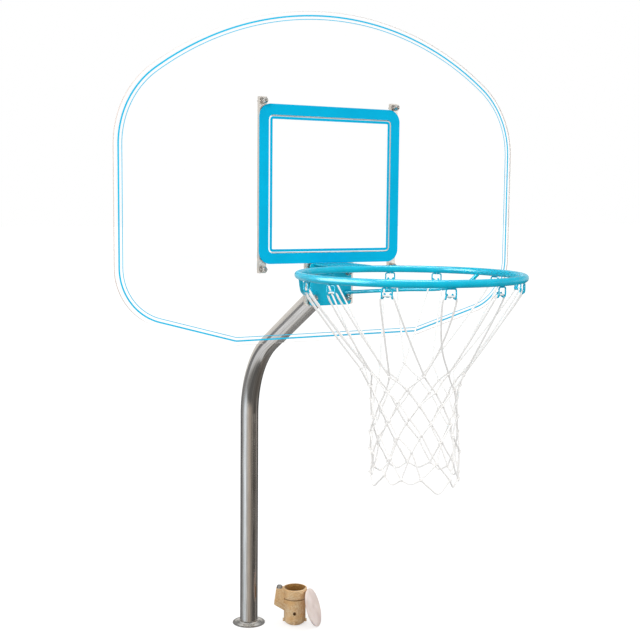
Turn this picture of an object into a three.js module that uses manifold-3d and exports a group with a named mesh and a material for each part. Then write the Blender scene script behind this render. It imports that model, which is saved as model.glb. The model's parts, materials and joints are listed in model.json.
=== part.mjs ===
// Poolside basketball hoop: a bent stainless post that drops into a deck anchor,
// a clear board with printed lines, a steel frame, a rim with its net, and the anchor with its cover.
// Millimetres, +Z up. The origin is the foot of the post on the deck, and the board faces -Y.

import * as THREE from 'three';
import { mergeVertices } from 'three/addons/utils/BufferGeometryUtils.js';
import Module from 'manifold-3d';

const wasm = await Module();
wasm.setup();

// Angles

const wholeTurn = 2 * Math.PI;
const halfTurn = Math.PI;
const quarterTurn = Math.PI / 2;
const inRadians = THREE.MathUtils.degToRad;

// Clearances that the whole object shares

const seatGap = 0.3;
const cutOverrun = 4;

// Post: 1.90 inch rail tube, bent once

const postRadius = 24.15;
const postWall = 2.8;
const bendRadius = 245;
const bendAngle = inRadians(60);
const armSeatDrop = 50.8;

// Board: clear sheet, its back face boardSetback in front of the post's axis

const boardSetback = 425;
const boardThickness = 6;
const boardBottom = 838;
const boardWidth = 1060;
const boardHeight = 760;
const crownRadius = 750;
const shoulderRadius = 215;
const lowerCornerRadius = 135;
const flatCornerRadius = 40;
const flatHalfLength = 246;
const skirtAngle = inRadians(15.5);

// Printed lines

const printThickness = 0.4;
const borderInset = 8.2;
const borderLineWidth = 3.6;
const borderLineGap = 5.5;
const borderPinlineWidth = 1.6;
const targetWidth = 376.6;
const targetHeight = 362.4;
const targetRise = 183.2;
const targetCornerRadius = 30;
const targetBandWidth = 24.5;
const targetStripeGap = 3.3;
const targetInnerBandWidth = 6;
const targetInnerCornerRadius = 2;

// Rear frame of rectangular tube, and the head plate on the post's arm

const uprightOffset = 176;
const uprightWidth = 18;
const uprightDepth = 12;
const frameTubeWall = 1.5;
const uprightOverhang = 21.2;
const uprightTopOverhang = 15.4;
const headPlateSideMargin = 10;
const headPlateThickness = 6;
const headPlateCornerRadius = 6;

// M8 bolts with cap nuts

const boltRadius = 4;
const boltHoleGap = 0.4;
const hexAcrossFlats = 13;
const boltHeadHeight = 5.3;
const flangeRadius = 8;
const flangeThickness = 1.6;
const capNutHexHeight = 6.5;
const capNutDomeRadius = 6;
const capNutBoreDepth = 9.5;
const boltEndGap = 1.5;
const boardBoltInset = 9.5;
const rimBoltHalfSpacing = 46;
const rimBoltTopInset = 22.2;
const rimBoltRowSpacing = 60;

// Rim: 18 inch inside diameter

const rimInnerDiameter = 457.2;
const rimRodRadius = 8;
const ringDrop = 0.7;
const rimReach = 338.7;
const rimPlateSideMargin = 10;
const rimPlateBottomMargin = 17.3;
const printMargin = 0.5;
const rimPlateThickness = 5;
const rimPlateCornerRadius = 8;
const bridgeThickness = 4;
const braceRodRadius = 4.5;
const braceFootInset = 6.5;
const braceFootRise = 12;
const braceEndAngle = inRadians(16.5);
const braceBendLength = 42;
const braceBendDrop = 36;

// Net hooks of bent wire

const hookCount = 12;
const hookShiftShares = [0, 0.117, 0.267, 0, 0, 0, 0, -0.04, -0.207, -0.35, -0.117, -0.25];
const hookWireRadius = 1.6;
const hookWidth = 24;
const hookDrop = 23;
const hookNotchHalfWidth = 6.2;
const hookNotchDrop = 20;
const hookNotchDepth = 8.4;
const hookCurlReach = 7;
const hookEndGap = 0.8;

// Net of knotted cord: how far down and how wide each row of knots is, and how far the hem sags below

const cordRadius = 2.25;
const knotRadius = 4.8;
const knotHalfWidth = 6.2;
const netThroatReach = 11.6;
const netThroatDrop = 13.6;
const netLength = 420;
const netWaistRadius = 92;
const netRowDropShares = [0.476, 0.55, 0.624, 0.707, 0.79, 0.886, 1];
const netRowRadiusShares = [1.217, 1.054, 1, 1, 1.022, 1.043, 1.033];
const netHemDropShare = 0.04;
const netHemStepShares = [1 / 4, 3 / 4];

// Escutcheon: pressed ring that slides on the post

const escutcheonRadius = 44.7;
const escutcheonHeight = 7.5;
const escutcheonLipWidth = 6;
const escutcheonSheet = 1.4;
const escutcheonCollarHeight = 4;
const escutcheonGap = 0.5;

// Deck anchor: cast socket with a wedge, standing beside the post

const anchorX = 110;
const anchorY = -64;
const anchorTurn = inRadians(-29.5);
const anchorHeight = 101.6;
const anchorBodyRadius = 30;
const anchorCollarRadius = 33.5;
const anchorCollarDepth = 25;
const anchorFootRadius = 20;
const anchorFootRise = 14;
const anchorFloor = 8;
const socketGap = 0.75;
const housingTopReach = 51.5;
const housingBottomReach = 57.5;
const housingTopDrop = 2;
const housingOuterBottom = 55;
const housingInnerBottom = 41;
const housingWidth = 30;
const housingWall = 4;
const housingCornerRadius = 3;
const pocketTop = 92;
const pocketBottom = 53;
const pocketWidth = 21;
const lugRadius = 3.2;
const lugReach = 33;
const lugHeight = 10;

// Wedge and its bolt

const wedgeBottom = 54;
const wedgeHeight = 30;
const wedgeTravel = 6.35;
const wedgeBoltOffset = 42.5;
const wedgeBoltRadius = 3.97;
const wedgeBoltAcrossFlats = 12.7;
const wedgeBoltHeadHeight = 5.6;
const wedgeBoltEnd = 55;
const wedgeWasherRadius = 8;
const wedgeWasherThickness = 1.6;
const bondingScrewHeight = 36.6;
const bondingScrewRadius = 2.4;
const bondingHeadRadius = 4.4;
const bondingHeadThickness = 2.6;
const bondingPadRadius = 6.5;

// Anchor cover: dished plastic disc with a low skirt inside its rim, leaning on the anchor's collar

const coverRadius = 52.6;
const coverThickness = 2.8;
const coverDish = 2.2;
const coverHalfwayDishShare = 0.8;
const coverSkirtDepth = 2.5;
const coverSkirtWidth = 2.6;
const coverFootDistance = 69;
const coverDirection = inRadians(-44);

// Shapes shared by several pieces

const circleSides = 24;
const rodSides = 12;
const wireSides = 6;
const cordSides = 4;
const hexSides = 6;
const nutDomeRows = 4;
const arcSegments = 5;
const bendSteps = 8;

function solidOf(geometry) {
  const bare = geometry.clone();
  bare.deleteAttribute('normal');
  bare.deleteAttribute('uv');
  const merged = mergeVertices(bare, 1e-5);
  const mesh = new wasm.Mesh({
    numProp: 3,
    vertProperties: new Float32Array(merged.attributes.position.array),
    triVerts: new Uint32Array(merged.index.array),
  });
  mesh.merge();
  return new wasm.Manifold(mesh);
}

function geometryOf(solid) {
  const mesh = solid.getMesh();
  const geometry = new THREE.BufferGeometry();
  geometry.setAttribute('position', new THREE.BufferAttribute(mesh.vertProperties, 3));
  geometry.setIndex(new THREE.BufferAttribute(mesh.triVerts, 1));
  geometry.computeVertexNormals();
  return geometry;
}

function cut(base, ...tools) {
  let solid = solidOf(base);
  for (const tool of tools) {
    solid = solid.subtract(solidOf(tool));
  }
  return geometryOf(solid);
}

function join(...pieces) {
  let solid = solidOf(pieces[0]);
  for (const piece of pieces.slice(1)) {
    solid = solid.add(solidOf(piece));
  }
  return geometryOf(solid);
}

// A box from its lowest to its highest corner

function boxBetween(low, high) {
  const size = new THREE.Vector3().subVectors(high, low);
  const middle = new THREE.Vector3().addVectors(low, high).multiplyScalar(1 / 2);
  return new THREE.BoxGeometry(size.x, size.y, size.z).translate(middle.x, middle.y, middle.z);
}

// A round bar along Z, from one height to another

function barAlongZ(radius, from, to, sides = circleSides) {
  const bar = new THREE.CylinderGeometry(radius, radius, to - from, sides);
  return bar.rotateX(quarterTurn).translate(0, 0, (from + to) / 2);
}

// A round bar along Y through the point (x, z)

function barAlongY(radius, from, to, x, z, sides = circleSides) {
  const bar = new THREE.CylinderGeometry(radius, radius, to - from, sides);
  return bar.translate(x, (from + to) / 2, z);
}

// A flat outline drawn in X and Z, given thickness from its back face towards the front

function sheet(shape, back, thickness) {
  const settings = { depth: thickness, bevelEnabled: false, curveSegments: arcSegments };
  return new THREE.ExtrudeGeometry(shape, settings).rotateX(quarterTurn).translate(0, back, 0);
}

function revolve(points, sides = circleSides) {
  return new THREE.LatheGeometry(points.map(([r, z]) => new THREE.Vector2(r, z)), sides).rotateX(quarterTurn);
}

function polygonPoints(radius, sides) {
  return Array.from({ length: sides }, (_, side) => {
    const angle = (side / sides) * wholeTurn;
    return new THREE.Vector2(radius * Math.cos(angle), radius * Math.sin(angle));
  });
}

function discShape(radius, sides) {
  return new THREE.Shape(polygonPoints(radius, sides));
}

function hexagon(acrossFlats) {
  return discShape(acrossFlats / 2 / Math.cos(halfTurn / hexSides), hexSides);
}

function roundedRectangle(width, height, radius, left, bottom) {
  const shape = new THREE.Shape();
  const right = left + width;
  const top = bottom + height;
  shape.absarc(right - radius, bottom + radius, radius, -quarterTurn, 0);
  shape.absarc(right - radius, top - radius, radius, 0, quarterTurn);
  shape.absarc(left + radius, top - radius, radius, quarterTurn, halfTurn);
  shape.absarc(left + radius, bottom + radius, radius, halfTurn, halfTurn + quarterTurn);
  return shape;
}

function circleHole(radius, x = 0, z = 0) {
  const hole = new THREE.Path();
  hole.absarc(x, z, radius, 0, wholeTurn);
  return hole;
}

// A path made of chosen stations, so that a straight run takes one step and a bend takes several

class StationPath extends THREE.Curve {
  constructor(points, tangents) {
    super();
    this.points = points;
    this.tangents = tangents;
  }

  getPointAt(u) {
    return this.points[Math.round(u * (this.points.length - 1))].clone();
  }

  getPoint(u) {
    return this.getPointAt(u);
  }

  getTangentAt(u) {
    return this.tangents[Math.round(u * (this.points.length - 1))].clone();
  }

  get steps() {
    return this.points.length - 1;
  }
}

function sweep(shape, path, steps) {
  return new THREE.ExtrudeGeometry(shape, { extrudePath: path, steps, curveSegments: rodSides });
}

// A rod whose centre line runs straight from point to point

function sweepThrough(points, radius, sides) {
  const tangents = points.map((point, place) => {
    const before = points[Math.max(place - 1, 0)];
    const after = points[Math.min(place + 1, points.length - 1)];
    return new THREE.Vector3().subVectors(after, before).normalize();
  });
  const path = new StationPath(points, tangents);
  return sweep(discShape(radius, sides), path, path.steps);
}

function finish(color, roughness, metalness, opacity = 1) {
  return new THREE.MeshStandardMaterial({ color, roughness, metalness, opacity, transparent: opacity < 1 });
}

const brushedSteel = () => finish('#b9b6b1', 0.38, 0.95);
const brightSteel = () => finish('#cfcdc9', 0.2, 1);
const clearAcrylic = () => finish('#f4fafc', 0.05, 0, 0.25);
const bluePrint = () => finish('#06a8dc', 0.35, 0);
const blueCoating = () => finish('#14b4dd', 0.3, 0.1);
const whiteCord = () => finish('#f5f3ef', 0.85, 0);
const castBrass = () => finish('#c9a66b', 0.42, 0.9);
const creamPlastic = () => finish('#e9d9d3', 0.5, 0);

const hoop = new THREE.Group();

function addPiece(parent, name, geometry, material) {
  const mesh = new THREE.Mesh(geometry, material);
  mesh.name = name;
  parent.add(mesh);
  return mesh;
}

// Faces that several pieces line up with

const boardBack = -boardSetback;
const boardFront = boardBack - boardThickness;
const rimPlateWidth = 2 * (rimBoltHalfSpacing + rimPlateSideMargin);
const rimPlateHeight = rimBoltTopInset + rimBoltRowSpacing + rimPlateBottomMargin;
const headPlateWidth = rimPlateWidth + 2 * headPlateSideMargin;
const braceFootHalfSpacing = rimBoltHalfSpacing - braceFootInset;
const braceFootDrop = rimBoltTopInset + rimBoltRowSpacing - braceFootRise;
const headPlateBack = boardBack + headPlateThickness;
const uprightBack = boardBack + uprightDepth;
const rimPlateFront = boardFront - rimPlateThickness;
const targetBottom = boardBottom + targetRise;
const uprightBottom = targetBottom - uprightOverhang;
const uprightTop = targetBottom + targetHeight + uprightTopOverhang;
const rimPlateTop = targetBottom - printMargin;
const rimHeight = rimPlateTop - ringDrop - rimRodRadius;
const armSeatHeight = rimPlateTop - armSeatDrop;
const rimRadius = rimInnerDiameter / 2 + rimRodRadius;
const rimCentreY = boardFront - rimReach;

// Post tube: straight leg, one bend, straight arm, cut off upright at the head plate

function postPath() {
  const armCornerHeight = armSeatHeight - (boardSetback - headPlateThickness) / Math.tan(bendAngle);
  const tangentLength = bendRadius * Math.tan(bendAngle / 2);
  const bendStart = armCornerHeight - tangentLength;
  const armDirection = new THREE.Vector3(0, -Math.sin(bendAngle), Math.cos(bendAngle));
  const points = [new THREE.Vector3(0, 0, 0)];
  const tangents = [new THREE.Vector3(0, 0, 1)];
  for (let step = 0; step <= bendSteps; step += 1) {
    const angle = (bendAngle * step) / bendSteps;
    const inward = bendRadius * (1 - Math.cos(angle));
    points.push(new THREE.Vector3(0, -inward, bendStart + bendRadius * Math.sin(angle)));
    tangents.push(new THREE.Vector3(0, -Math.sin(angle), Math.cos(angle)));
  }
  const armLength = (boardSetback + postRadius) / Math.sin(bendAngle);
  points.push(new THREE.Vector3(0, 0, armCornerHeight).addScaledVector(armDirection, armLength));
  tangents.push(armDirection);
  return new StationPath(points, tangents);
}

function postTube() {
  const path = postPath();
  const outer = sweep(discShape(postRadius, circleSides), path, path.steps);
  const inner = sweep(discShape(postRadius - postWall, circleSides), path, path.steps);
  const reach = 4 * postRadius;
  const beyondPlate = boxBetween(
    new THREE.Vector3(-reach, -boardSetback - reach, 0),
    new THREE.Vector3(reach, headPlateBack + seatGap, boardBottom + boardHeight),
  );
  return cut(outer, inner, beyondPlate);
}

addPiece(hoop, 'post_tube', postTube(), brushedSteel());

// Bolt places, as x and z on the board

const boardBoltPlaces = [];
for (const z of [uprightBottom + boardBoltInset, uprightTop - boardBoltInset]) {
  for (const side of [-1, 1]) {
    boardBoltPlaces.push([side * uprightOffset, z]);
  }
}

const rimBoltPlaces = [];
for (const row of [1, 0]) {
  for (const side of [-1, 1]) {
    rimBoltPlaces.push([side * rimBoltHalfSpacing, rimPlateTop - rimBoltTopInset - row * rimBoltRowSpacing]);
  }
}

const boltHoleRadius = boltRadius + boltHoleGap;

// Head plate: welded to the arm, bolted through the board to the rim's plate

const crossbarLowerMiddle = targetBottom + (targetBandWidth + targetStripeGap + targetInnerBandWidth) / 2;
const crossbarUpperMiddle = targetBottom + targetHeight - (crossbarLowerMiddle - targetBottom);
const crossbarHeight = uprightWidth;
const headPlateTop = crossbarLowerMiddle - crossbarHeight / 2;

function headPlate() {
  const bottom = rimPlateTop - rimPlateHeight;
  const left = -headPlateWidth / 2;
  const shape = roundedRectangle(headPlateWidth, headPlateTop - bottom, headPlateCornerRadius, left, bottom);
  for (const [x, z] of rimBoltPlaces) {
    shape.holes.push(circleHole(boltHoleRadius, x, z));
  }
  return sheet(shape, headPlateBack, headPlateThickness);
}

addPiece(hoop, 'head_plate', headPlate(), brushedSteel());

// Rear frame: two uprights and two crossbars of one rectangular tube

function uprightTube(side) {
  const left = side * uprightOffset - uprightWidth / 2;
  const outer = boxBetween(
    new THREE.Vector3(left, boardBack, uprightBottom),
    new THREE.Vector3(left + uprightWidth, uprightBack, uprightTop),
  );
  const bore = boxBetween(
    new THREE.Vector3(left + frameTubeWall, boardBack + frameTubeWall, uprightBottom - cutOverrun),
    new THREE.Vector3(left + uprightWidth - frameTubeWall, uprightBack - frameTubeWall, uprightTop + cutOverrun),
  );
  const holes = boardBoltPlaces
    .filter(([x]) => Math.sign(x) === side)
    .map(([x, z]) => barAlongY(boltHoleRadius, boardBack - cutOverrun, uprightBack + cutOverrun, x, z, rodSides));
  return cut(outer, bore, ...holes);
}

function crossbar(middle) {
  const end = uprightOffset - uprightWidth / 2;
  const half = crossbarHeight / 2;
  const outer = boxBetween(
    new THREE.Vector3(-end, boardBack, middle - half),
    new THREE.Vector3(end, uprightBack, middle + half),
  );
  const bore = boxBetween(
    new THREE.Vector3(-end - cutOverrun, boardBack + frameTubeWall, middle - half + frameTubeWall),
    new THREE.Vector3(end + cutOverrun, uprightBack - frameTubeWall, middle + half - frameTubeWall),
  );
  return cut(outer, bore);
}

addPiece(hoop, 'upright_left', uprightTube(-1), brushedSteel());
addPiece(hoop, 'upright_right', uprightTube(1), brushedSteel());
addPiece(hoop, 'crossbar_lower', crossbar(crossbarLowerMiddle), brushedSteel());
addPiece(hoop, 'crossbar_upper', crossbar(crossbarUpperMiddle), brushedSteel());

// Board outline, drawn parallel to the sheet's edge at any inset

function boardOutline(inset) {
  const halfWidth = boardWidth / 2;
  const crownCentre = boardBottom + boardHeight - crownRadius;
  const shoulderX = halfWidth - shoulderRadius;
  const shoulderZ = crownCentre + Math.sqrt((crownRadius - shoulderRadius) ** 2 - shoulderX ** 2);
  const shoulderAngle = Math.atan2(shoulderZ - crownCentre, shoulderX);
  const flatCornerX = flatHalfLength - flatCornerRadius * Math.tan(skirtAngle / 2);
  const flatCornerZ = boardBottom + flatCornerRadius;
  const lowerX = halfWidth - lowerCornerRadius;
  const spread = Math.sin(skirtAngle) * (lowerX - flatCornerX) + lowerCornerRadius - flatCornerRadius;
  const lowerZ = flatCornerZ + spread / Math.cos(skirtAngle);
  const skirt = skirtAngle - quarterTurn;
  const shape = new THREE.Path();
  shape.absarc(flatCornerX, flatCornerZ, flatCornerRadius - inset, -quarterTurn, skirt);
  shape.absarc(lowerX, lowerZ, lowerCornerRadius - inset, skirt, 0);
  shape.absarc(shoulderX, shoulderZ, shoulderRadius - inset, 0, shoulderAngle);
  shape.absarc(0, crownCentre, crownRadius - inset, shoulderAngle, halfTurn - shoulderAngle);
  shape.absarc(-shoulderX, shoulderZ, shoulderRadius - inset, halfTurn - shoulderAngle, halfTurn);
  shape.absarc(-lowerX, lowerZ, lowerCornerRadius - inset, halfTurn, halfTurn - skirt);
  shape.absarc(-flatCornerX, flatCornerZ, flatCornerRadius - inset, halfTurn - skirt, halfTurn + quarterTurn);
  return shape;
}

function asShape(path) {
  return new THREE.Shape(path.getPoints(arcSegments));
}

function backboard() {
  const shape = asShape(boardOutline(0));
  for (const [x, z] of [...boardBoltPlaces, ...rimBoltPlaces]) {
    shape.holes.push(circleHole(boltHoleRadius, x, z));
  }
  return sheet(shape, boardBack, boardThickness);
}

addPiece(hoop, 'backboard', backboard(), clearAcrylic());

// Printed lines, each a thin skin on the board's front face

function borderBand(outerInset, width) {
  const shape = asShape(boardOutline(outerInset));
  shape.holes.push(new THREE.Path(boardOutline(outerInset + width).getPoints(arcSegments)));
  return sheet(shape, boardFront, printThickness);
}

function targetBand(outerInset, width, outerRadius, innerRadius) {
  const rectangle = (inset, radius) => roundedRectangle(
    targetWidth - 2 * inset,
    targetHeight - 2 * inset,
    radius,
    inset - targetWidth / 2,
    targetBottom + inset,
  );
  const shape = asShape(rectangle(outerInset, outerRadius));
  shape.holes.push(new THREE.Path(rectangle(outerInset + width, innerRadius).getPoints(arcSegments)));
  return sheet(shape, boardFront, printThickness);
}

const pinlineInset = borderInset + borderLineWidth + borderLineGap;
const innerBandInset = targetBandWidth + targetStripeGap;
const innerBandRadius = targetInnerCornerRadius + targetInnerBandWidth;
const stripeRadius = innerBandRadius + targetStripeGap;

addPiece(hoop, 'border_line', borderBand(borderInset, borderLineWidth), bluePrint());
addPiece(hoop, 'border_pinline', borderBand(pinlineInset, borderPinlineWidth), bluePrint());
addPiece(hoop, 'target_outer_band', targetBand(0, targetBandWidth, targetCornerRadius, stripeRadius), bluePrint());
addPiece(
  hoop,
  'target_inner_band',
  targetBand(innerBandInset, targetInnerBandWidth, innerBandRadius, targetInnerCornerRadius),
  bluePrint(),
);

// Bolts and flanged cap nuts. A bolt's head bears on `back`, and its nut's flange on `front`

function hexBolt(x, z, back, front) {
  const end = front - flangeThickness - capNutBoreDepth + boltEndGap;
  const head = sheet(hexagon(hexAcrossFlats), back + boltHeadHeight, boltHeadHeight).translate(x, 0, z);
  const shank = barAlongY(boltRadius, end, back + boltHeadHeight / 2, x, z, rodSides);
  return join(head, shank);
}

function capNut(x, z, front) {
  const seat = front - flangeThickness;
  const flange = barAlongY(flangeRadius, seat, front, x, z, rodSides);
  const hex = sheet(hexagon(hexAcrossFlats), front - flangeThickness / 2, capNutHexHeight).translate(x, 0, z);
  const dome = new THREE.SphereGeometry(capNutDomeRadius, rodSides, nutDomeRows);
  dome.translate(x, seat - capNutHexHeight, z);
  const bore = barAlongY(boltRadius + seatGap, seat - capNutBoreDepth, front + cutOverrun, x, z, rodSides);
  return cut(join(flange, hex, dome), bore);
}

boardBoltPlaces.forEach(([x, z], index) => {
  addPiece(hoop, `board_bolt_${index + 1}`, hexBolt(x, z, uprightBack, boardFront), brightSteel());
  addPiece(hoop, `board_cap_nut_${index + 1}`, capNut(x, z, boardFront), brightSteel());
});

rimBoltPlaces.forEach(([x, z], index) => {
  addPiece(hoop, `rim_bolt_${index + 1}`, hexBolt(x, z, headPlateBack, rimPlateFront), brightSteel());
  addPiece(hoop, `rim_cap_nut_${index + 1}`, capNut(x, z, rimPlateFront), brightSteel());
});

// Rim: ring, mounting plate, bridge plate and two brace rods

function ringOf(rodRadius, sides) {
  const ring = new THREE.TorusGeometry(rimRadius, rodRadius, sides, 2 * circleSides);
  return ring.translate(0, rimCentreY, rimHeight);
}

function rimPlate() {
  const left = -rimPlateWidth / 2;
  const bottom = rimPlateTop - rimPlateHeight;
  const shape = roundedRectangle(rimPlateWidth, rimPlateHeight, rimPlateCornerRadius, left, bottom);
  for (const [x, z] of rimBoltPlaces) {
    shape.holes.push(circleHole(boltHoleRadius, x, z));
  }
  return sheet(shape, boardFront, rimPlateThickness);
}

function bridgePlate() {
  const half = rimPlateWidth / 2 - rimPlateCornerRadius;
  const plate = boxBetween(
    new THREE.Vector3(-half, rimCentreY + rimRadius - rimRodRadius, rimPlateTop - bridgeThickness),
    new THREE.Vector3(half, rimPlateFront, rimPlateTop),
  );
  const insideRing = barAlongZ(rimRadius, rimHeight, rimHeight + rimRadius, 2 * circleSides);
  insideRing.translate(0, rimCentreY, 0);
  return cut(plate, insideRing, ringOf(rimRodRadius + seatGap, rodSides));
}

function braceRod(side) {
  const footHeight = rimPlateTop - braceFootDrop;
  const foot = new THREE.Vector3(side * braceFootHalfSpacing, rimPlateFront + cutOverrun, footHeight);
  const end = new THREE.Vector3(
    side * rimRadius * Math.cos(braceEndAngle),
    rimCentreY + rimRadius * Math.sin(braceEndAngle),
    rimHeight,
  );
  const along = new THREE.Vector3().subVectors(end, foot).setZ(0).normalize();
  const bendStart = end.clone().addScaledVector(along, -braceBendLength).setZ(rimHeight - braceBendDrop);
  const knee = end.clone().addScaledVector(along, -braceBendLength / 2).setZ(rimHeight - braceBendDrop / 2);
  knee.z -= braceRodRadius;
  const path = new THREE.CurvePath();
  path.add(new THREE.LineCurve3(foot, bendStart));
  path.add(new THREE.QuadraticBezierCurve3(bendStart, knee, end));
  const stations = [0, ...Array.from({ length: bendSteps / 2 }, (_, i) => i / (bendSteps / 2)), 1];
  const curves = path.curves;
  const points = [foot.clone(), ...stations.slice(1).map((t) => curves[1].getPoint(t))];
  const tangents = [curves[0].getTangent(0), ...stations.slice(1).map((t) => curves[1].getTangent(t))];
  const stationPath = new StationPath(points, tangents);
  const rod = sweep(discShape(braceRodRadius, rodSides), stationPath, stationPath.steps);
  const plateZone = boxBetween(
    new THREE.Vector3(-rimPlateWidth, rimPlateFront - seatGap, rimPlateTop - 2 * rimPlateHeight),
    new THREE.Vector3(rimPlateWidth, boardFront + rimPlateWidth, rimPlateTop),
  );
  return cut(rod, plateZone, ringOf(rimRodRadius + seatGap, rodSides));
}

addPiece(hoop, 'rim_ring', ringOf(rimRodRadius, rodSides), blueCoating());
addPiece(hoop, 'rim_mount_plate', rimPlate(), blueCoating());
addPiece(hoop, 'rim_bridge_plate', bridgePlate(), blueCoating());
addPiece(hoop, 'brace_rod_left', braceRod(-1), blueCoating());
addPiece(hoop, 'brace_rod_right', braceRod(1), blueCoating());

// Net hooks: one bent wire each, butted under the ring, with a notch for the cord

const hookSpacing = wholeTurn / hookCount;

function columnAngle(position) {
  return -quarterTurn + (position - (hookCount - 1) / 2) * hookSpacing;
}

// Each hook is welded near its even place, shifted by its share of the spacing

function hookAngle(index) {
  return columnAngle(index + hookShiftShares[index]);
}

// A hook's own frame: X points out from the ring's centre, Y along the ring, Z up from the ring's middle

function inHookFrame(geometry, index) {
  const angle = hookAngle(index);
  geometry.translate(rimRadius, 0, 0).rotateZ(angle);
  return geometry.translate(0, rimCentreY, rimHeight);
}

function hookWire() {
  const top = -rimRodRadius - seatGap - hookWireRadius;
  const half = hookWidth / 2 - hookWireRadius;
  const low = -rimRodRadius - hookDrop + hookWireRadius;
  const notchLow = -rimRodRadius - hookNotchDrop + hookWireRadius;
  const notchHigh = notchLow + hookNotchDepth;
  const corner = 2 * hookWireRadius;
  const side = [
    [0, hookEndGap / 2, top],
    [0, half - corner, top],
    [0, half, top - corner],
    [0, half, low + corner],
    [-hookCurlReach / 2, half - hookWireRadius / 2, low],
    [-hookCurlReach, (half + hookNotchHalfWidth) / 2, low + corner],
    [-hookCurlReach, hookNotchHalfWidth, notchHigh - corner],
    [-hookCurlReach, hookNotchHalfWidth - corner / 2, notchLow + corner / 2],
    [-hookCurlReach, 0, notchLow],
  ].map(([x, y, z]) => new THREE.Vector3(x, y, z));
  const mirrored = side.slice(0, -1).reverse().map((point) => new THREE.Vector3(point.x, -point.y, point.z));
  return sweepThrough([...side, ...mirrored], hookWireRadius, wireSides);
}

for (let index = 0; index < hookCount; index += 1) {
  const number = String(index + 1).padStart(2, '0');
  addPiece(hoop, `net_hook_${number}`, inHookFrame(hookWire(), index), blueCoating());
}

// Net: cords run from hook to hook through twelve knots in each row

function netPoint(row, position) {
  const angle = columnAngle(position);
  const radius = netRowRadiusShares[row] * netWaistRadius;
  const height = rimHeight - netRowDropShares[row] * netLength;
  return new THREE.Vector3(radius * Math.cos(angle), rimCentreY + radius * Math.sin(angle), height);
}

function cordBetween(from, to) {
  const length = from.distanceTo(to);
  const cord = new THREE.CylinderGeometry(cordRadius, cordRadius, length, cordSides);
  const turn = new THREE.Quaternion().setFromUnitVectors(
    new THREE.Vector3(0, 1, 0),
    new THREE.Vector3().subVectors(to, from).normalize(),
  );
  const middle = new THREE.Vector3().addVectors(from, to).multiplyScalar(1 / 2);
  return cord.applyQuaternion(turn).translate(middle.x, middle.y, middle.z);
}

// The bight that hangs on a hook: up inside the notch, over its wire, back under it and in to the throat

function bight(index, hand) {
  const angle = hookAngle(index);
  const notchHeight = rimHeight - rimRodRadius - hookNotchDrop + hookWireRadius;
  const place = (inward, along, drop) => {
    const outward = rimRadius - hookCurlReach - inward;
    return new THREE.Vector3(
      outward * Math.cos(angle) - along * Math.sin(angle),
      rimCentreY + outward * Math.sin(angle) + along * Math.cos(angle),
      notchHeight - drop,
    );
  };
  const reach = (hookWireRadius + cordRadius + seatGap) / Math.cos(halfTurn / 8);
  const diagonal = reach * Math.SQRT1_2;
  const slip = (hand * cordRadius) / 2;
  return [
    place(netThroatReach, -2 * slip, netThroatDrop),
    place(reach, -2 * slip, 0),
    place(diagonal, -slip, -diagonal),
    place(0, 0, -reach),
    place(-diagonal, slip, -diagonal),
    place(-reach, 2 * slip, 0),
    place(-diagonal, 2 * slip, (reach + diagonal) / 2),
    place(reach, 3 * slip, reach + cordRadius / 4),
    place(netThroatReach, 3 * slip, netThroatDrop),
  ];
}

// A knot: a small diamond whose side faces look along the cords that meet in it

function knotAt(point) {
  const angle = Math.atan2(point.y - rimCentreY, point.x);
  const knot = new THREE.CylinderGeometry(1, 1, 2 * knotRadius, 4);
  knot.scale(knotHalfWidth, 1, knotRadius).rotateZ(angle - quarterTurn);
  return knot.translate(point.x, point.y, point.z);
}

function net() {
  const pieces = [];
  const lastRow = netRowDropShares.length - 1;
  const hemHeight = rimHeight - netLength - netHemDropShare * netLength;
  for (let index = 0; index < hookCount; index += 1) {
    const hand = index < hookCount / 2 ? -1 : 1;
    const run = [netPoint(0, index - hand / 2), ...bight(index, hand), netPoint(0, index + hand / 2)];
    pieces.push(sweepThrough(run, cordRadius, cordSides));
    for (let row = 0; row < lastRow; row += 1) {
      const here = index + 1 / 2 + row / 2;
      const knot = netPoint(row, here);
      pieces.push(knotAt(knot));
      pieces.push(cordBetween(knot, netPoint(row + 1, here - 1 / 2)));
      pieces.push(cordBetween(knot, netPoint(row + 1, here + 1 / 2)));
    }
    const column = index + 1 / 2 + lastRow / 2;
    const last = netPoint(lastRow, column);
    const sag = netHemStepShares.map((share) => netPoint(lastRow, column + share).setZ(hemHeight));
    const hem = [last, ...sag, netPoint(lastRow, column + 1)];
    pieces.push(knotAt(last));
    pieces.push(sweepThrough(hem, cordRadius, cordSides));
  }
  return join(...pieces);
}

addPiece(hoop, 'net', net(), whiteCord());

// Escutcheon: a pressed ring with a flat lip and a collar round the post

function escutcheon() {
  const bore = (postRadius + escutcheonGap) / Math.cos(halfTurn / circleSides);
  const collar = bore + escutcheonSheet;
  const lip = escutcheonRadius - escutcheonLipWidth;
  const domeTop = escutcheonHeight - escutcheonCollarHeight;
  const shoulder = (collar + lip) / 2;
  return revolve([
    [lip, 0],
    [escutcheonRadius, 0],
    [escutcheonRadius, escutcheonSheet],
    [lip + escutcheonSheet / 2, escutcheonSheet],
    [shoulder + escutcheonSheet, (escutcheonSheet + domeTop) / 2 + escutcheonSheet],
    [collar + escutcheonSheet, domeTop + escutcheonSheet / 2],
    [collar, domeTop + 2 * escutcheonSheet],
    [collar, escutcheonHeight],
    [bore, escutcheonHeight],
    [bore, domeTop],
    [shoulder - escutcheonSheet / 2, (escutcheonSheet + domeTop) / 2],
    [lip, 0],
  ]);
}

addPiece(hoop, 'escutcheon', escutcheon(), brightSteel());

// Deck anchor, in its own frame: Z up from its foot, the wedge housing on its -X side

const anchor = new THREE.Group();
anchor.position.set(anchorX, anchorY, 0);
anchor.rotation.z = anchorTurn;
hoop.add(anchor);

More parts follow.
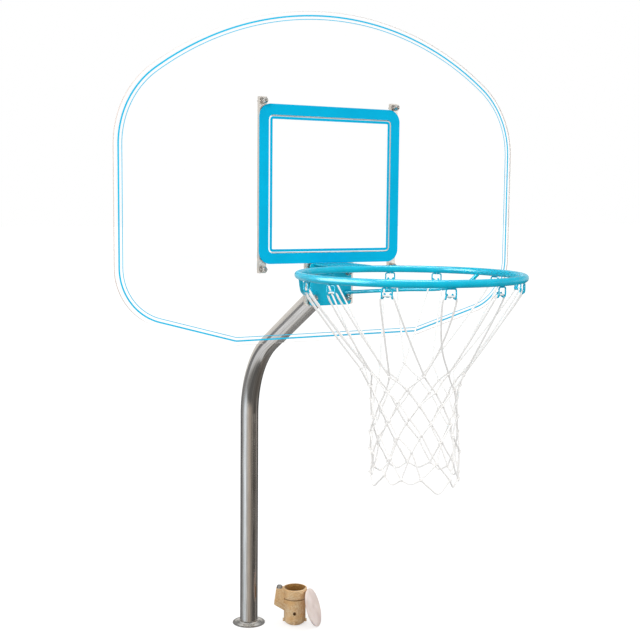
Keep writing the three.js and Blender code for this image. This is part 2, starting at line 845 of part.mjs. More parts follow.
const socketRadius = postRadius + socketGap;
const housingTop = anchorHeight - housingTopDrop;
const wallSlope = (housingBottomReach - housingTopReach) / (housingTop - housingOuterBottom);
const wallAngle = Math.atan(wallSlope);

function housingReachAt(z) {
  return housingTopReach + (housingTop - z) * wallSlope;
}

// A block whose outline is drawn in X and Z and which is centred on Y

function sideBlock(points, width) {
  const shape = new THREE.Shape(points.map(([x, z]) => new THREE.Vector2(x, z)));
  return sheet(shape, width / 2, width);
}

function anchorHousing() {
  const inner = -anchorBodyRadius * Math.SQRT1_2;
  const corner = housingCornerRadius;
  const outline = [
    [inner, housingInnerBottom],
    [inner, housingTop],
    [-housingTopReach + corner, housingTop],
    [-housingReachAt(housingTop - corner), housingTop - corner],
    [-housingReachAt(housingOuterBottom + corner), housingOuterBottom + corner],
    [-housingBottomReach + corner, housingOuterBottom],
    [-anchorBodyRadius, housingInnerBottom],
  ];
  const block = sideBlock(outline.reverse(), housingWidth);
  const trims = [-1, 1].map((side) => {
    const trim = barAlongZ(2 * corner, 0, anchorHeight + cutOverrun, 4);
    return trim.translate(-housingReachAt(housingTop / 2) - corner / 2, side * (housingWidth / 2 + corner), 0);
  });
  return cut(block, ...trims);
}

function anchorCasting() {
  const foot = anchorFootRise;
  const step = anchorHeight - anchorCollarDepth;
  const swell = anchorCollarRadius - anchorBodyRadius;
  const chamfer = swell / 3;
  const cup = revolve([
    [0, 0],
    [anchorFootRadius, 0],
    [(anchorFootRadius + 2 * anchorBodyRadius) / 3, foot / 3],
    [anchorBodyRadius - chamfer, (2 * foot) / 3],
    [anchorBodyRadius, foot],
    [anchorBodyRadius, step - swell],
    [anchorCollarRadius, step],
    [anchorCollarRadius, anchorHeight - chamfer],
    [anchorCollarRadius - chamfer, anchorHeight],
    [0, anchorHeight],
  ]);
  const lugs = [0, 1, 2, 3].map((quarter) => {
    const lug = barAlongZ(lugRadius, lugHeight / 2, lugHeight + lugRadius, rodSides);
    return lug.translate(lugReach - lugRadius, 0, 0).rotateZ(quarter * quarterTurn);
  });
  const pad = barAlongY(bondingPadRadius, -anchorBodyRadius - seatGap, 0, 0, bondingScrewHeight);
  return join(cup, anchorHousing(), pad, ...lugs);
}

function wedgePocket() {
  const inner = -socketRadius * Math.SQRT1_2;
  const outerAt = (z) => -housingReachAt(z) + housingWall;
  const outline = [
    [inner, pocketBottom],
    [inner, pocketTop],
    [outerAt(pocketTop), pocketTop],
    [outerAt(pocketBottom), pocketBottom],
  ];
  return sideBlock(outline.reverse(), pocketWidth);
}

function anchorBody() {
  const bore = barAlongZ(socketRadius, anchorFloor, anchorHeight + cutOverrun);
  const boltHole = barAlongZ(wedgeBoltRadius + boltHoleGap, pocketTop - cutOverrun, anchorHeight, rodSides);
  boltHole.translate(-wedgeBoltOffset, 0, 0);
  const screwHole = barAlongY(
    bondingScrewRadius + seatGap,
    -anchorBodyRadius - bondingPadRadius,
    0,
    0,
    bondingScrewHeight,
    rodSides,
  );
  return cut(anchorCasting(), bore, wedgePocket(), boltHole, screwHole);
}

addPiece(anchor, 'anchor_body', anchorBody(), castBrass());

// Wedge: its outer face runs parallel to the pocket's sloping wall, its inner face fits the post

function wedgeBlock() {
  const top = wedgeBottom + wedgeHeight;
  const slack = seatGap / Math.cos(wallAngle);
  const outerAt = (z) => -housingReachAt(z) + housingWall + slack;
  const inner = -socketRadius * Math.SQRT1_2;
  const outline = [
    [inner, wedgeBottom],
    [inner, top],
    [outerAt(top), top],
    [outerAt(wedgeBottom), wedgeBottom],
  ];
  const block = sideBlock(outline.reverse(), pocketWidth - 2 * seatGap);
  const postFace = barAlongZ(socketRadius + seatGap, wedgeBottom - cutOverrun, top + cutOverrun);
  const shift = (wedgeTravel * wallSlope) / 2;
  const holeRadius = wedgeBoltRadius + shift + seatGap;
  const hole = barAlongZ(holeRadius, wedgeBottom - cutOverrun, top + cutOverrun, rodSides);
  hole.translate(-wedgeBoltOffset - shift, 0, 0);
  return cut(block, postFace, hole);
}

function wedgeBolt() {
  const seat = housingTop + wedgeWasherThickness;
  const settings = { depth: wedgeBoltHeadHeight, bevelEnabled: false };
  const head = new THREE.ExtrudeGeometry(hexagon(wedgeBoltAcrossFlats), settings).translate(0, 0, seat);
  const shank = barAlongZ(wedgeBoltRadius, wedgeBoltEnd, seat + wedgeBoltHeadHeight / 2, rodSides);
  return join(head, shank).translate(-wedgeBoltOffset, 0, 0);
}

function wedgeWasher() {
  const shape = discShape(wedgeWasherRadius, 2 * rodSides);
  shape.holes.push(new THREE.Path(polygonPoints(wedgeBoltRadius + boltHoleGap, 2 * rodSides)));
  const settings = { depth: wedgeWasherThickness, bevelEnabled: false };
  return new THREE.ExtrudeGeometry(shape, settings).translate(-wedgeBoltOffset, 0, housingTop);
}

function bondingScrew() {
  const face = -anchorBodyRadius - seatGap;
  const head = barAlongY(bondingHeadRadius, face - bondingHeadThickness, face, 0, bondingScrewHeight, 2 * rodSides);
  const end = -socketRadius - seatGap;
  const shank = barAlongY(bondingScrewRadius, face - bondingHeadThickness / 2, end, 0, bondingScrewHeight, rodSides);
  const slotHalf = bondingHeadThickness / 4;
  const slot = boxBetween(
    new THREE.Vector3(-bondingHeadRadius, face - 2 * bondingHeadThickness, bondingScrewHeight - slotHalf),
    new THREE.Vector3(bondingHeadRadius, face - bondingHeadThickness / 2, bondingScrewHeight + slotHalf),
  );
  return cut(join(head, shank), slot.translate(0, -bondingHeadThickness / 4, 0));
}

addPiece(anchor, 'anchor_wedge', wedgeBlock(), castBrass());
addPiece(anchor, 'wedge_bolt', wedgeBolt(), brightSteel());
addPiece(anchor, 'wedge_washer', wedgeWasher(), brightSteel());
addPiece(anchor, 'bonding_screw', bondingScrew(), castBrass());

// Anchor cover: a dished disc, its foot on the deck and its back against the collar's top edge

function coverDisc() {
  const edge = coverThickness / 2;
  const rim = coverRadius - edge;
  const disc = revolve([
    [0, coverDish],
    [rim / 2, coverDish * coverHalfwayDishShare],
    [rim - coverSkirtWidth, 0],
    [rim - coverSkirtWidth, -coverSkirtDepth],
    [rim, -coverSkirtDepth],
    [coverRadius, edge],
    [rim, coverThickness],
    [rim / 2, coverThickness + coverDish * coverHalfwayDishShare],
    [0, coverThickness + coverDish],
  ]);
  return disc.rotateY(quarterTurn).translate(0, 0, coverRadius);
}

// The skirt's upper edge touches the collar's side, and the disc's lower edge stands on the deck

const coverRun = coverFootDistance - anchorCollarRadius;
const coverReach = 2 * coverRadius - coverThickness / 2;
const coverSlant = Math.atan(coverSkirtDepth / coverReach);
const coverLean = Math.asin(coverRun / Math.hypot(coverReach, coverSkirtDepth)) - coverSlant;
const coverEdgeRise = (coverThickness / 2) * Math.sin(coverLean);
const coverSkirtRise = (coverThickness / 2) * Math.cos(coverLean) - coverSkirtDepth * Math.sin(coverLean);
const coverDrop = Math.min(coverEdgeRise, coverSkirtRise);
const coverHolder = new THREE.Group();
coverHolder.position.set(
  anchorX + (coverFootDistance + seatGap) * Math.cos(coverDirection),
  anchorY + (coverFootDistance + seatGap) * Math.sin(coverDirection),
  -coverDrop,
);
coverHolder.rotation.set(0, -coverLean, coverDirection, 'ZYX');
hoop.add(coverHolder);

addPiece(coverHolder, 'anchor_cover', coverDisc(), creamPlastic());

export default hoop;
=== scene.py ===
"""The looks of a poolside basketball hoop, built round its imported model.

Lengths here are in millimetres, apart from the studio's, which are in metres.
"""

import json
import logging
import math
import random
from dataclasses import dataclass
from enum import Enum
from functools import lru_cache
from typing import ClassVar, Iterable, Sequence

import bmesh
import bpy
from bmesh.types import BMesh
from bpy.types import Material, Mesh, Node, NodeSocket, NodeTree, Object
from mathutils import Matrix, Vector

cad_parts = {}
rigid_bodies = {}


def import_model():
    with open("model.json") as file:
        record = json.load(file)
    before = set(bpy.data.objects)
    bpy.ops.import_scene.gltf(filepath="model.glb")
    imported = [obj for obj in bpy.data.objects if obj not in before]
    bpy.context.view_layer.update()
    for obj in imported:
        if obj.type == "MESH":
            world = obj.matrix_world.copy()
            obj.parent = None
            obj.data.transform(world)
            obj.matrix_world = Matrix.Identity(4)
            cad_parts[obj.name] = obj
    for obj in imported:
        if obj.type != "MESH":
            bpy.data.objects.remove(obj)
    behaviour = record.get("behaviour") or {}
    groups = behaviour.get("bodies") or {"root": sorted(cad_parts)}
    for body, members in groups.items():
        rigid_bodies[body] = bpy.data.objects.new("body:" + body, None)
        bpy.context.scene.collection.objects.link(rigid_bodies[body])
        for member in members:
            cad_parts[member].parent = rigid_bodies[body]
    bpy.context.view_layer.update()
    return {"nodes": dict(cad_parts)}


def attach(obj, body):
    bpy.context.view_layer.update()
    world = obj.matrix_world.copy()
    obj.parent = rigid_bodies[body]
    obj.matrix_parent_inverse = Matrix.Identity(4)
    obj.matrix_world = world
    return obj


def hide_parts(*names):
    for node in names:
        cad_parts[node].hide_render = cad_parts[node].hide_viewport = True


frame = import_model()

MM = 0.001
FULL_TURN = 2 * math.pi
QUARTER_TURN = math.pi / 2
LOG = logging.getLogger("hoop")

Point = tuple[float, float, float]
# What a shader's sockets take: values that are the same all over, and what a node gives.
Values = dict[str, object]
Sources = dict[str, NodeSocket]
# A stop of a ramp: its place, its strength and, unless it is white, its colour.
Stops = Sequence[tuple]


class Axis(Enum):
    """The way that a brushed grain runs: an axis, and the coordinates that have it."""

    X = (0, "Object")
    Z = (2, "Object")
    ALONG = (1, "UV")


class Slot(Enum):
    """The record's material slots."""

    BRUSHED_STEEL = "brushed_steel"
    BRIGHT_STEEL = "bright_steel"
    CLEAR_ACRYLIC = "clear_acrylic"
    BLUE_PRINT = "blue_print"
    BLUE_COATING = "blue_coating"
    WHITE_CORD = "white_cord"
    CAST_BRASS = "cast_brass"
    CREAM_PLASTIC = "cream_plastic"


def linear(hex_colour: str) -> tuple[float, float, float, float]:
    """Turns an sRGB hex value to linear colour.

    Args:
        hex_colour: six hex digits after a #.

    Returns:
        Red, green and blue, and an alpha of 1.
    """
    parts = [int(hex_colour[i:i + 2], 16) / 255 for i in (1, 3, 5)]
    turned = [c / 12.92 if c <= 0.04045 else ((c + 0.055) / 1.055) ** 2.4 for c in parts]
    return (turned[0], turned[1], turned[2], 1.0)


def add_node(
    tree: NodeTree, kind: str, inputs: dict[str | int, object] | None = None, **settings: object
) -> Node:
    """Adds a shader node with its settings and links.

    Args:
        tree: the tree that it goes into.
        kind: the node's type, without the word ShaderNode.
        inputs: a value, or a socket to link from, for each named input.
        settings: the node's own properties.

    Returns:
        The node.
    """
    node = tree.nodes.new("ShaderNode" + kind)
    for name, value in settings.items():
        setattr(node, name, value)
    for key, value in (inputs or {}).items():
        if isinstance(value, NodeSocket):
            tree.links.new(value, node.inputs[key])
        else:
            node.inputs[key].default_value = value
    return node


def empty_tree(owner: Material | bpy.types.World) -> NodeTree:
    """Empties the node tree of a material or a world.

    Args:
        owner: the material or world.

    Returns:
        The tree.
    """
    owner.use_nodes = True
    owner.node_tree.nodes.clear()
    return owner.node_tree


def spread(tree: NodeTree, noise: NodeSocket, low: float, high: float) -> NodeSocket:
    """Turns a noise to the range from low to high, and returns that value."""
    inputs = {"Value": noise, "From Min": 0.3, "From Max": 0.7, "To Min": low, "To Max": high}
    return add_node(tree, "MapRange", inputs).outputs["Result"]


def ramp(tree: NodeTree, value: NodeSocket, stops: Stops) -> NodeSocket:
    """Turns a value to colour or light by a row of stops.

    Args:
        tree: the tree that it goes into.
        value: what the ramp runs along, from 0 to 1.
        stops: the ramp's stops.

    Returns:
        The ramp's colour.
    """
    made = add_node(tree, "ValToRGB", {"Fac": value})
    elements = made.color_ramp.elements
    elements[0].position, elements[1].position = stops[0][0], stops[-1][0]
    for stop in stops[1:-1]:
        elements.new(stop[0])
    for element, (_, level, *colour) in zip(elements, stops):
        red, green, blue, _ = linear(colour[0] if colour else "#ffffff")
        element.color = (level * red, level * green, level * blue, 1.0)
    return made.outputs["Color"]


def tint(tree: NodeTree, noise: NodeSocket, dark: str, light: str) -> NodeSocket:
    """Turns a noise to a colour between two, and returns that colour."""
    return ramp(tree, noise, ((0.3, 1.0, dark), (0.7, 1.0, light)))


def bump(tree: NodeTree, height: NodeSocket, depth: float) -> NodeSocket:
    """Raises a surface by a noise, whose full depth is given, and returns its normal."""
    inputs = {"Height": height, "Distance": depth * MM, "Strength": 1.0}
    return add_node(tree, "Bump", inputs).outputs["Normal"]


@dataclass(frozen=True)
class Grain:
    """A noise, by the real length of its grains along each axis, and its octaves."""

    x: float
    y: float
    z: float
    detail: float = 2.0

    def draw(self, tree: NodeTree, source: str = "Object") -> NodeSocket:
        """Draws the noise.

        Args:
            tree: the tree that it goes into.
            source: the coordinates that it reads.

        Returns:
            The noise's value, about 0.5.
        """
        where = add_node(tree, "TexCoord").outputs[source]
        scale = tuple(1 / (size * MM) for size in (self.x, self.y, self.z))
        placed = add_node(tree, "Mapping", {"Vector": where, "Scale": scale}).outputs[0]
        noise = {"Vector": placed, "Scale": 1.0, "Detail": self.detail}
        return add_node(tree, "TexNoise", noise).outputs["Fac"]


@dataclass(frozen=True)
class Finish:
    """A surface finish and its slot. Its fixed values stand in plain, by the shader's socket."""

    name: str
    slot: Slot
    colour: str
    roughness: float
    plain: ClassVar[Values] = {}

    def surface(self, tree: NodeTree) -> Sources:
        """Draws the finish's own nodes. Each finish overrides this.

        Args:
            tree: the material's tree.

        Returns:
            What the shader's sockets take.
        """
        return {}


@lru_cache(maxsize=None)
def material_of(finish: Finish) -> Material:
    """Builds a finish's material, once however many pieces wear it.

    Args:
        finish: the finish.

    Returns:
        Its material.
    """
    material = bpy.data.materials.new(finish.name)
    tree = empty_tree(material)
    even = {"Base Color": linear(finish.colour), "Roughness": finish.roughness, **finish.plain}
    shader = add_node(tree, "BsdfPrincipled", even)
    add_node(tree, "OutputMaterial", {"Surface": shader.outputs["BSDF"]})
    for name, source in finish.surface(tree).items():
        tree.links.new(source, shader.inputs[name])
    return material


@dataclass(frozen=True)
class Grained(Finish):
    """A finish whose colour drifts slowly, and whose gloss and height follow one fine grain."""

    shade: str = "#ffffff"
    drift: Grain = Grain(40.0, 40.0, 40.0)
    grain: Grain = Grain(1.0, 1.0, 1.0)
    # How far the roughness falls and rises with the grain.
    swing: tuple[float, float] = (-0.03, 0.05)
    depth: float = 0.03

    def surface(self, tree: NodeTree) -> Sources:
        """Draws the slow change of colour, and the grain in roughness and height.

        Args:
            tree: the material's tree.

        Returns:
            What the shader's sockets take.
        """
        grain = self.grain.draw(tree)
        low, high = (self.roughness + change for change in self.swing)
        return {
            "Base Color": tint(tree, self.drift.draw(tree), self.shade, self.colour),
            "Roughness": spread(tree, grain, low, high),
            "Normal": bump(tree, grain, self.depth),
        }


@dataclass(frozen=True)
class PolishedStainless(Grained):
    """Cold-formed and tumbled stainless steel: bright, with faint handling marks at 2.5 mm."""

    shade: str = "#bdbab5"
    drift: Grain = Grain(2.5, 2.5, 2.5, 4.0)
    grain: Grain = Grain(2.5, 2.5, 2.5, 4.0)
    swing: tuple[float, float] = (-0.04, 0.08)
    depth: float = 0.01
    plain: ClassVar[Values] = {"Metallic": 1.0}


@dataclass(frozen=True)
class PowderCoat(Grained):
    """Gloss polyester powder coat on steel: even colour, with the orange peel of a baked coat.

    The peel's waves are about 2 mm across, and the film's thickness changes over 35 mm.
    """

    shade: str = "#00aecd"
    drift: Grain = Grain(35.0, 35.0, 35.0)
    grain: Grain = Grain(2.2, 2.2, 2.2, 1.0)
    plain: ClassVar[Values] = {"Specular IOR Level": 0.2}


@dataclass(frozen=True)
class ScreenInk(Grained):
    """Screen-printed vinyl ink on acrylic: opaque and flat, with a faint mesh and a satin sheen.

    The lay-down is uneven across 80 mm. The mesh's mark is drawn at 1.5 mm so that it shows.
    """

    shade: str = "#00add8"
    drift: Grain = Grain(80.0, 80.0, 80.0)
    grain: Grain = Grain(1.5, 1.5, 1.5, 1.0)
    depth: float = 0.004
    plain: ClassVar[Values] = {"Specular IOR Level": 0.05}


@dataclass(frozen=True)
class SawnAcrylic(Grained):
    """The sheet's sawn and scraped edge: frosted, with the saw's marks across it, 1.2 mm apart."""

    shade: str = "#f6ddd0"
    drift: Grain = Grain(1.2, 6.0, 1.2)
    grain: Grain = Grain(1.2, 6.0, 1.2)
    swing: tuple[float, float] = (-0.05, 0.1)
    depth: float = 0.02
    plain: ClassVar[Values] = {"Transmission Weight": 0.2, "IOR": 1.49}


@dataclass(frozen=True)
class MouldedPlastic(Grained):
    """Injection-moulded ABS: even colour, with its mould's fine spark texture at 0.8 mm."""

    shade: str = "#d9c6be"
    grain: Grain = Grain(0.8, 0.8, 0.8)
    swing: tuple[float, float] = (-0.04, 0.06)
    plain: ClassVar[Values] = {
        "Subsurface Weight": 0.1, "Subsurface Radius": (0.003, 0.002, 0.001)
    }


@dataclass(frozen=True)
class CastAcrylic(Finish):
    """Cell-cast acrylic sheet: water clear with a hard gloss, and faintly wavy as cast."""

    # The sheet's antiglare skin keeps most of its mirror away.
    plain: ClassVar[Values] = {
        "Transmission Weight": 1.0, "IOR": 1.49, "Specular IOR Level": 0.06
    }

    def surface(self, tree: NodeTree) -> Sources:
        """Gives the gloss the slow wave of a cast sheet."""
        wave = Grain(90.0, 90.0, 90.0, 1.0).draw(tree)
        return {"Roughness": spread(tree, wave, self.roughness, self.roughness + 0.02)}


@dataclass(frozen=True)
class BrushedStainless(Finish):
    """Grade 304 stainless steel, belt-brushed: fine straight scratches that stretch highlights."""

    dark: str = "#a8a39d"
    streak: str = "#9c9894"
    grain: Axis = Axis.Z
    # A real scratch is about 0.1 mm wide; it is drawn eight times as wide so that it shows.
    scratch_width: float = 0.8
    scratch_length: float = 70.0
    # The belt also leaves streaks that are broader than the scratches by this much.
    streak_factor: float = 4
    streak_share: tuple[float, float] = (0.45, 1.0)
    clouds: Grain = Grain(60.0, 60.0, 60.0)
    # How far the roughness falls and rises with the scratches, and with the clouds.
    swing: tuple[float, float] = (-0.06, 0.06)
    cloud_swing: tuple[float, float] = (-0.03, 0.04)
    depth: float = 0.012
    plain: ClassVar[Values] = {"Metallic": 1.0}

    def surface(self, tree: NodeTree) -> Sources:
        """Draws the scratches along the grain, in colour, roughness and height.

        Args:
            tree: the material's tree.

        Returns:
            What the shader's sockets take.
        """
        along, source = self.grain.value
        sizes = [self.scratch_width] * 3
        sizes[along] = self.scratch_length
        scratches = Grain(*sizes, 4.0).draw(tree, source)
        clouds = self.clouds.draw(tree)
        low, high = (self.roughness + change for change in self.cloud_swing)
        broad = Grain(*(self.streak_factor * size for size in sizes), 3.0).draw(tree, source)
        colours = {
            "Factor": spread(tree, broad, *self.streak_share), "A": linear(self.streak),
            "B": tint(tree, scratches, self.dark, self.colour),
        }
        roughs = {
            0: spread(tree, scratches, *self.swing), 1: spread(tree, clouds, low, high)
        }
        return {
            "Base Color": add_node(tree, "Mix", colours, data_type="RGBA").outputs["Result"],
            "Roughness": add_node(tree, "Math", roughs, operation="ADD").outputs[0],
            "Normal": bump(tree, scratches, self.depth),
        }


@dataclass(frozen=True)
class BraidedNylon(Finish):
    """White braided nylon cord: matt, with small crossing plaits that catch the light."""

    # The greyer colour of the gaps between the plaits is painted shade.
    gap: str = "#f2efeb"
    # A real plait is about 1 mm long; it is drawn at 1.6 mm so that it shows.
    plait: float = 1.6
    fuzz: Grain = Grain(0.7, 0.7, 0.7)
    swing: float = 0.05
    depth: float = 0.12

    def surface(self, tree: NodeTree) -> Sources:
        """Draws the plaits as small cells, painted shade in the gaps between them, and the fibres'
        fuzz.

        Args:
            tree: the material's tree.

        Returns:
            What the shader's sockets take.
        """
        where = add_node(tree, "TexCoord").outputs["Object"]
        cells = add_node(tree, "TexVoronoi", {"Vector": where, "Scale": 1 / (self.plait * MM)})
        rise = {0: 1.0, 1: cells.outputs["Distance"]}
        height = add_node(tree, "Math", rise, operation="SUBTRACT").outputs[0]
        fuzz = self.fuzz.draw(tree)
        return {
            # The colour falls to the gaps' grey between the plaits: painted shade.
            "Base Color": tint(tree, height, self.gap, self.colour),
            "Roughness": spread(
                tree, fuzz, self.roughness - self.swing, self.roughness + self.swing
            ),
            "Normal": bump(tree, height, self.depth),
        }


@dataclass(frozen=True)
class SandCastBrass(Finish):
    """Red brass as it leaves a sand mould and a tumbler: grainy and satin, with a line of painted
    shade under the cup's collar.
    """

    shade: str = "#fdd59a"
    speck: str = "#cf9a60"
    # The colour of the painted shade in the corner under the collar.
    painted_corner_shade: str = "#96693a"
    # The height of the corner under the collar, and half the width of the line of painted shade
    # there.
    corner: float = 73.2
    corner_half: float = 1.5
    # The cup's axis and its reach from it, so that the line stays off the wedge's housing.
    cup: Point = (110.0, -64.0, 33.0)
    grit: Grain = Grain(1.0, 1.0, 1.0, 3.0)
    # A real grain of sand is 0.5 mm; it is drawn at 2 mm so that it shows.
    sand: Grain = Grain(2.0, 2.0, 2.0)
    patches: Grain = Grain(12.0, 12.0, 12.0, 3.0)
    stains: Grain = Grain(30.0, 30.0, 18.0, 3.0)
    # How far the roughness falls and rises with the patches, and with the grit.
    patch_swing: tuple[float, float] = (-0.08, 0.1)
    swing: float = 0.05
    depth: float = 0.12
    # The sand's skin scatters light much as a matt surface does.
    plain: ClassVar[Values] = {"Metallic": 0.35}

    def in_corner(self, tree: NodeTree) -> NodeSocket:
        """Marks the corner under the cup's collar, where shade is painted.

        Args:
            tree: the material's tree.

        Returns:
            1 in the corner and 0 elsewhere.
        """
        where = add_node(tree, "TexCoord").outputs["Object"]
        height = add_node(tree, "SeparateXYZ", {0: where}).outputs["Z"]
        level = {0: height, 1: self.corner * MM, 2: self.corner_half * MM}
        band = add_node(tree, "Math", level, operation="COMPARE").outputs[0]
        x, y, reach = self.cup
        ends = {0: where, 1: (x * MM, y * MM, self.corner * MM)}
        away = add_node(tree, "VectorMath", ends, operation="DISTANCE").outputs["Value"]
        near = add_node(tree, "Math", {0: away, 1: reach * MM}, operation="LESS_THAN").outputs[0]
        return add_node(tree, "Math", {0: band, 1: near}, operation="MULTIPLY").outputs[0]

    def surface(self, tree: NodeTree) -> Sources:
        """Draws the sand's grit, its dark specks, the tumbled patches and a line of painted shade
        under the collar.

        Args:
            tree: the material's tree.

        Returns:
            What the shader's sockets take.
        """
        grit = self.grit.draw(tree)
        skin = tint(tree, self.stains.draw(tree), self.shade, self.colour)
        # Sand that stayed in the skin is darker.
        specks = spread(tree, self.sand.draw(tree), 0.0, 1.0)
        mottled = {"Factor": specks, "A": linear(self.speck), "B": skin}
        # A line of painted shade darkens the corner under the collar.
        lined = {
            "Factor": self.in_corner(tree),
            "A": add_node(tree, "Mix", mottled, data_type="RGBA").outputs["Result"],
            "B": linear(self.painted_corner_shade),
        }
        roughs = {
            0: spread(tree, self.patches.draw(tree), *self.patch_swing),
            1: spread(tree, grit, self.roughness - self.swing, self.roughness + self.swing),
        }
        return {
            "Base Color": add_node(tree, "Mix", lined, data_type="RGBA").outputs["Result"],
            "Roughness": add_node(tree, "Math", roughs, operation="ADD").outputs[0],
            "Normal": bump(tree, grit, self.depth),
        }


POST_STEEL = BrushedStainless(
    "brushed_stainless_tube", Slot.BRUSHED_STEEL, "#edeae5", 0.17, dark="#c8c3bc", grain=Axis.ALONG
)
BAR_STEEL = BrushedStainless(
    "brushed_stainless_upright", Slot.BRUSHED_STEEL, "#f4efe8", 0.3, dark="#ddd6cd",
    streak="#cfc7bd",
)
CROSSBAR_STEEL = BrushedStainless(
    "brushed_stainless_crossbar", Slot.BRUSHED_STEEL, "#f4efe8", 0.3, dark="#ddd6cd",
    streak="#cfc7bd", grain=Axis.X,
)
BRIGHT_STEEL = PolishedStainless("tumbled_stainless", Slot.BRIGHT_STEEL, "#dcdad6", 0.2)
WELD_STEEL = PolishedStainless("stainless_weld", Slot.BRUSHED_STEEL, "#b9b2a8", 0.34, "#8a7c6c")
COATING = PowderCoat("gloss_blue_powder_coat", Slot.BLUE_COATING, "#00bddb", 0.26)
INK = ScreenInk("blue_screen_ink", Slot.BLUE_PRINT, "#00b5e0", 0.5)
THIN_INK = ScreenInk("thin_blue_screen_ink", Slot.BLUE_PRINT, "#2cc6ec", 0.5, "#26bfe6")
ACRYLIC = CastAcrylic("clear_cast_acrylic", Slot.CLEAR_ACRYLIC, "#ffffff", 0.0)
SAWN_EDGE = SawnAcrylic("sawn_acrylic_edge", Slot.CLEAR_ACRYLIC, "#fdefe6", 0.4)
CORD = BraidedNylon("white_braided_nylon", Slot.WHITE_CORD, "#ffffff", 0.85)
BRASS = SandCastBrass("sand_cast_brass", Slot.CAST_BRASS, "#fff0cd", 0.42)
MACHINED_BRASS = SandCastBrass(
    "turned_brass", Slot.CAST_BRASS, "#8f6530", 0.35, "#553616", "#2e1c0a"
)
# Darker brass for the bore: painted shade inside the cup.
BORE_SHADE_BRASS = SandCastBrass("bore_shade_brass", Slot.CAST_BRASS, "#c8944a", 0.5, "#8a5c26", "#684416")
COVER = MouldedPlastic("cream_moulded_abs", Slot.CREAM_PLASTIC, "#f0e2dc", 0.42)


def put(name: str, data: bpy.types.ID) -> Object:
    """Puts an object of some data in the scene.

    Args:
        name: the object's name.
        data: its mesh, curve, lamp or camera.

    Returns:
        The object.
    """
    made = bpy.data.objects.new(name, data)
    bpy.context.scene.collection.objects.link(made)
    return made


def mesh_object(name: str, bm: BMesh, smooth_angle: float = 35.0) -> Object:
    """Makes an object of a bmesh, shaded smooth up to an angle.

    Args:
        name: the object's name.
        bm: the shape, in millimetres. It is freed.
        smooth_angle: edges sharper than this, in degrees, stay sharp.

    Returns:
        The object, at the origin, in metres.
    """
    bmesh.ops.scale(bm, vec=(MM, MM, MM), verts=bm.verts)
    mesh = bpy.data.meshes.new(name)
    bm.to_mesh(mesh)
    bm.free()
    mesh.shade_smooth()
    mesh.set_sharp_from_angle(angle=math.radians(smooth_angle))
    return put(name, mesh)


def in_millimetres(*meshes: Mesh) -> BMesh:
    """Joins meshes, which are in metres, into one bmesh in millimetres.

    Args:
        meshes: the meshes.

    Returns:
        The bmesh.
    """
    bm = bmesh.new()
    for mesh in meshes:
        bm.from_mesh(mesh)
    bmesh.ops.scale(bm, vec=(1 / MM, 1 / MM, 1 / MM), verts=bm.verts)
    return bm


def outward(bm: BMesh) -> None:
    """Merges doubles and turns the faces of a closed shape outwards."""
    bmesh.ops.remove_doubles(bm, verts=bm.verts, dist=0.001)
    bmesh.ops.recalc_face_normals(bm, faces=bm.faces)


def cut(bm: BMesh, place: Point, facing: Point, **options: object) -> None:
    """Cuts a whole shape along a plane, which is given by a place and the way it faces."""
    whole = [*bm.verts, *bm.edges, *bm.faces]
    bmesh.ops.bisect_plane(bm, geom=whole, plane_co=place, plane_no=facing, **options)


def spun(section: Iterable[tuple[float, float]], steps: int = 96) -> BMesh:
    """Spins a section round the Z axis.

    Args:
        section: its points, as the radius and the height.
        steps: the steps of the full turn.

    Returns:
        The shape.
    """
    bm = bmesh.new()
    verts = [bm.verts.new((x, 0, z)) for x, z in section]
    edges = [bm.edges.new(pair) for pair in zip(verts, verts[1:])]
    bmesh.ops.spin(
        bm, geom=[*verts, *edges], cent=(0, 0, 0), axis=(0, 0, 1), angle=FULL_TURN,
        steps=steps, use_merge=True,
    )
    outward(bm)
    return bm


def mesh_of(curve: bpy.types.Curve) -> Mesh:
    """Makes the mesh that a curve draws, and deletes the curve.

    Args:
        curve: the curve.

    Returns:
        The mesh.
    """
    drawn = put(curve.name + "_line", curve)
    bpy.context.view_layer.update()
    graph = bpy.context.evaluated_depsgraph_get()
    mesh = bpy.data.meshes.new_from_object(drawn.evaluated_get(graph), depsgraph=graph)
    bpy.data.objects.remove(drawn)
    bpy.data.curves.remove(curve)
    return mesh


def curve_piece(
    name: str,
    runs: Iterable[Sequence[Vector]],
    radius: float,
    sides: int = 3,
    steps: int = 6,
    closed: bool = False,
    swell: Sequence[float] | None = None,
) -> Object:
    """Makes a round cord or wire along smooth runs of points, as a mesh.

    Args:
        name: the object's name.
        runs: the points of each run.
        radius: the cord's radius.
        sides: the bevel resolution. 3 gives ten sides.
        steps: the steps between two points.
        closed: whether each run closes on itself.
        swell: a factor on the radius for each point of a run.

    Returns:
        The object, at the origin, in metres.
    """
    curve = bpy.data.curves.new(name, "CURVE")
    curve.dimensions = "3D"
    curve.bevel_depth = radius * MM
    curve.bevel_resolution = sides
    curve.resolution_u = steps
    curve.use_fill_caps = True
    for run in runs:
        spline = curve.splines.new("BEZIER")
        spline.bezier_points.add(len(run) - 1)
        spline.use_cyclic_u = closed
        for index, (point, place) in enumerate(zip(spline.bezier_points, run)):
            point.co = place * MM
            point.handle_left_type = point.handle_right_type = "AUTO"
            if swell:
                point.radius = swell[index % len(swell)]
    mesh = mesh_of(curve)
    mesh.name = name
    mesh.materials.clear()
    mesh.shade_smooth()
    return put(name, mesh)


def round_edges(piece: Object, width: float, sharper_than: float = 30.0) -> None:
    """Rounds a piece's edges.

    Args:
        piece: the piece.
        width: the width of the rounding.
        sharper_than: only edges sharper than this, in degrees, are rounded.
    """
    rounding = piece.modifiers.new("rounding", "BEVEL")
    rounding.width = width * MM
    rounding.segments = 2
    rounding.limit_method = "ANGLE"
    rounding.harden_normals = True
    rounding.angle_limit = math.radians(sharper_than)


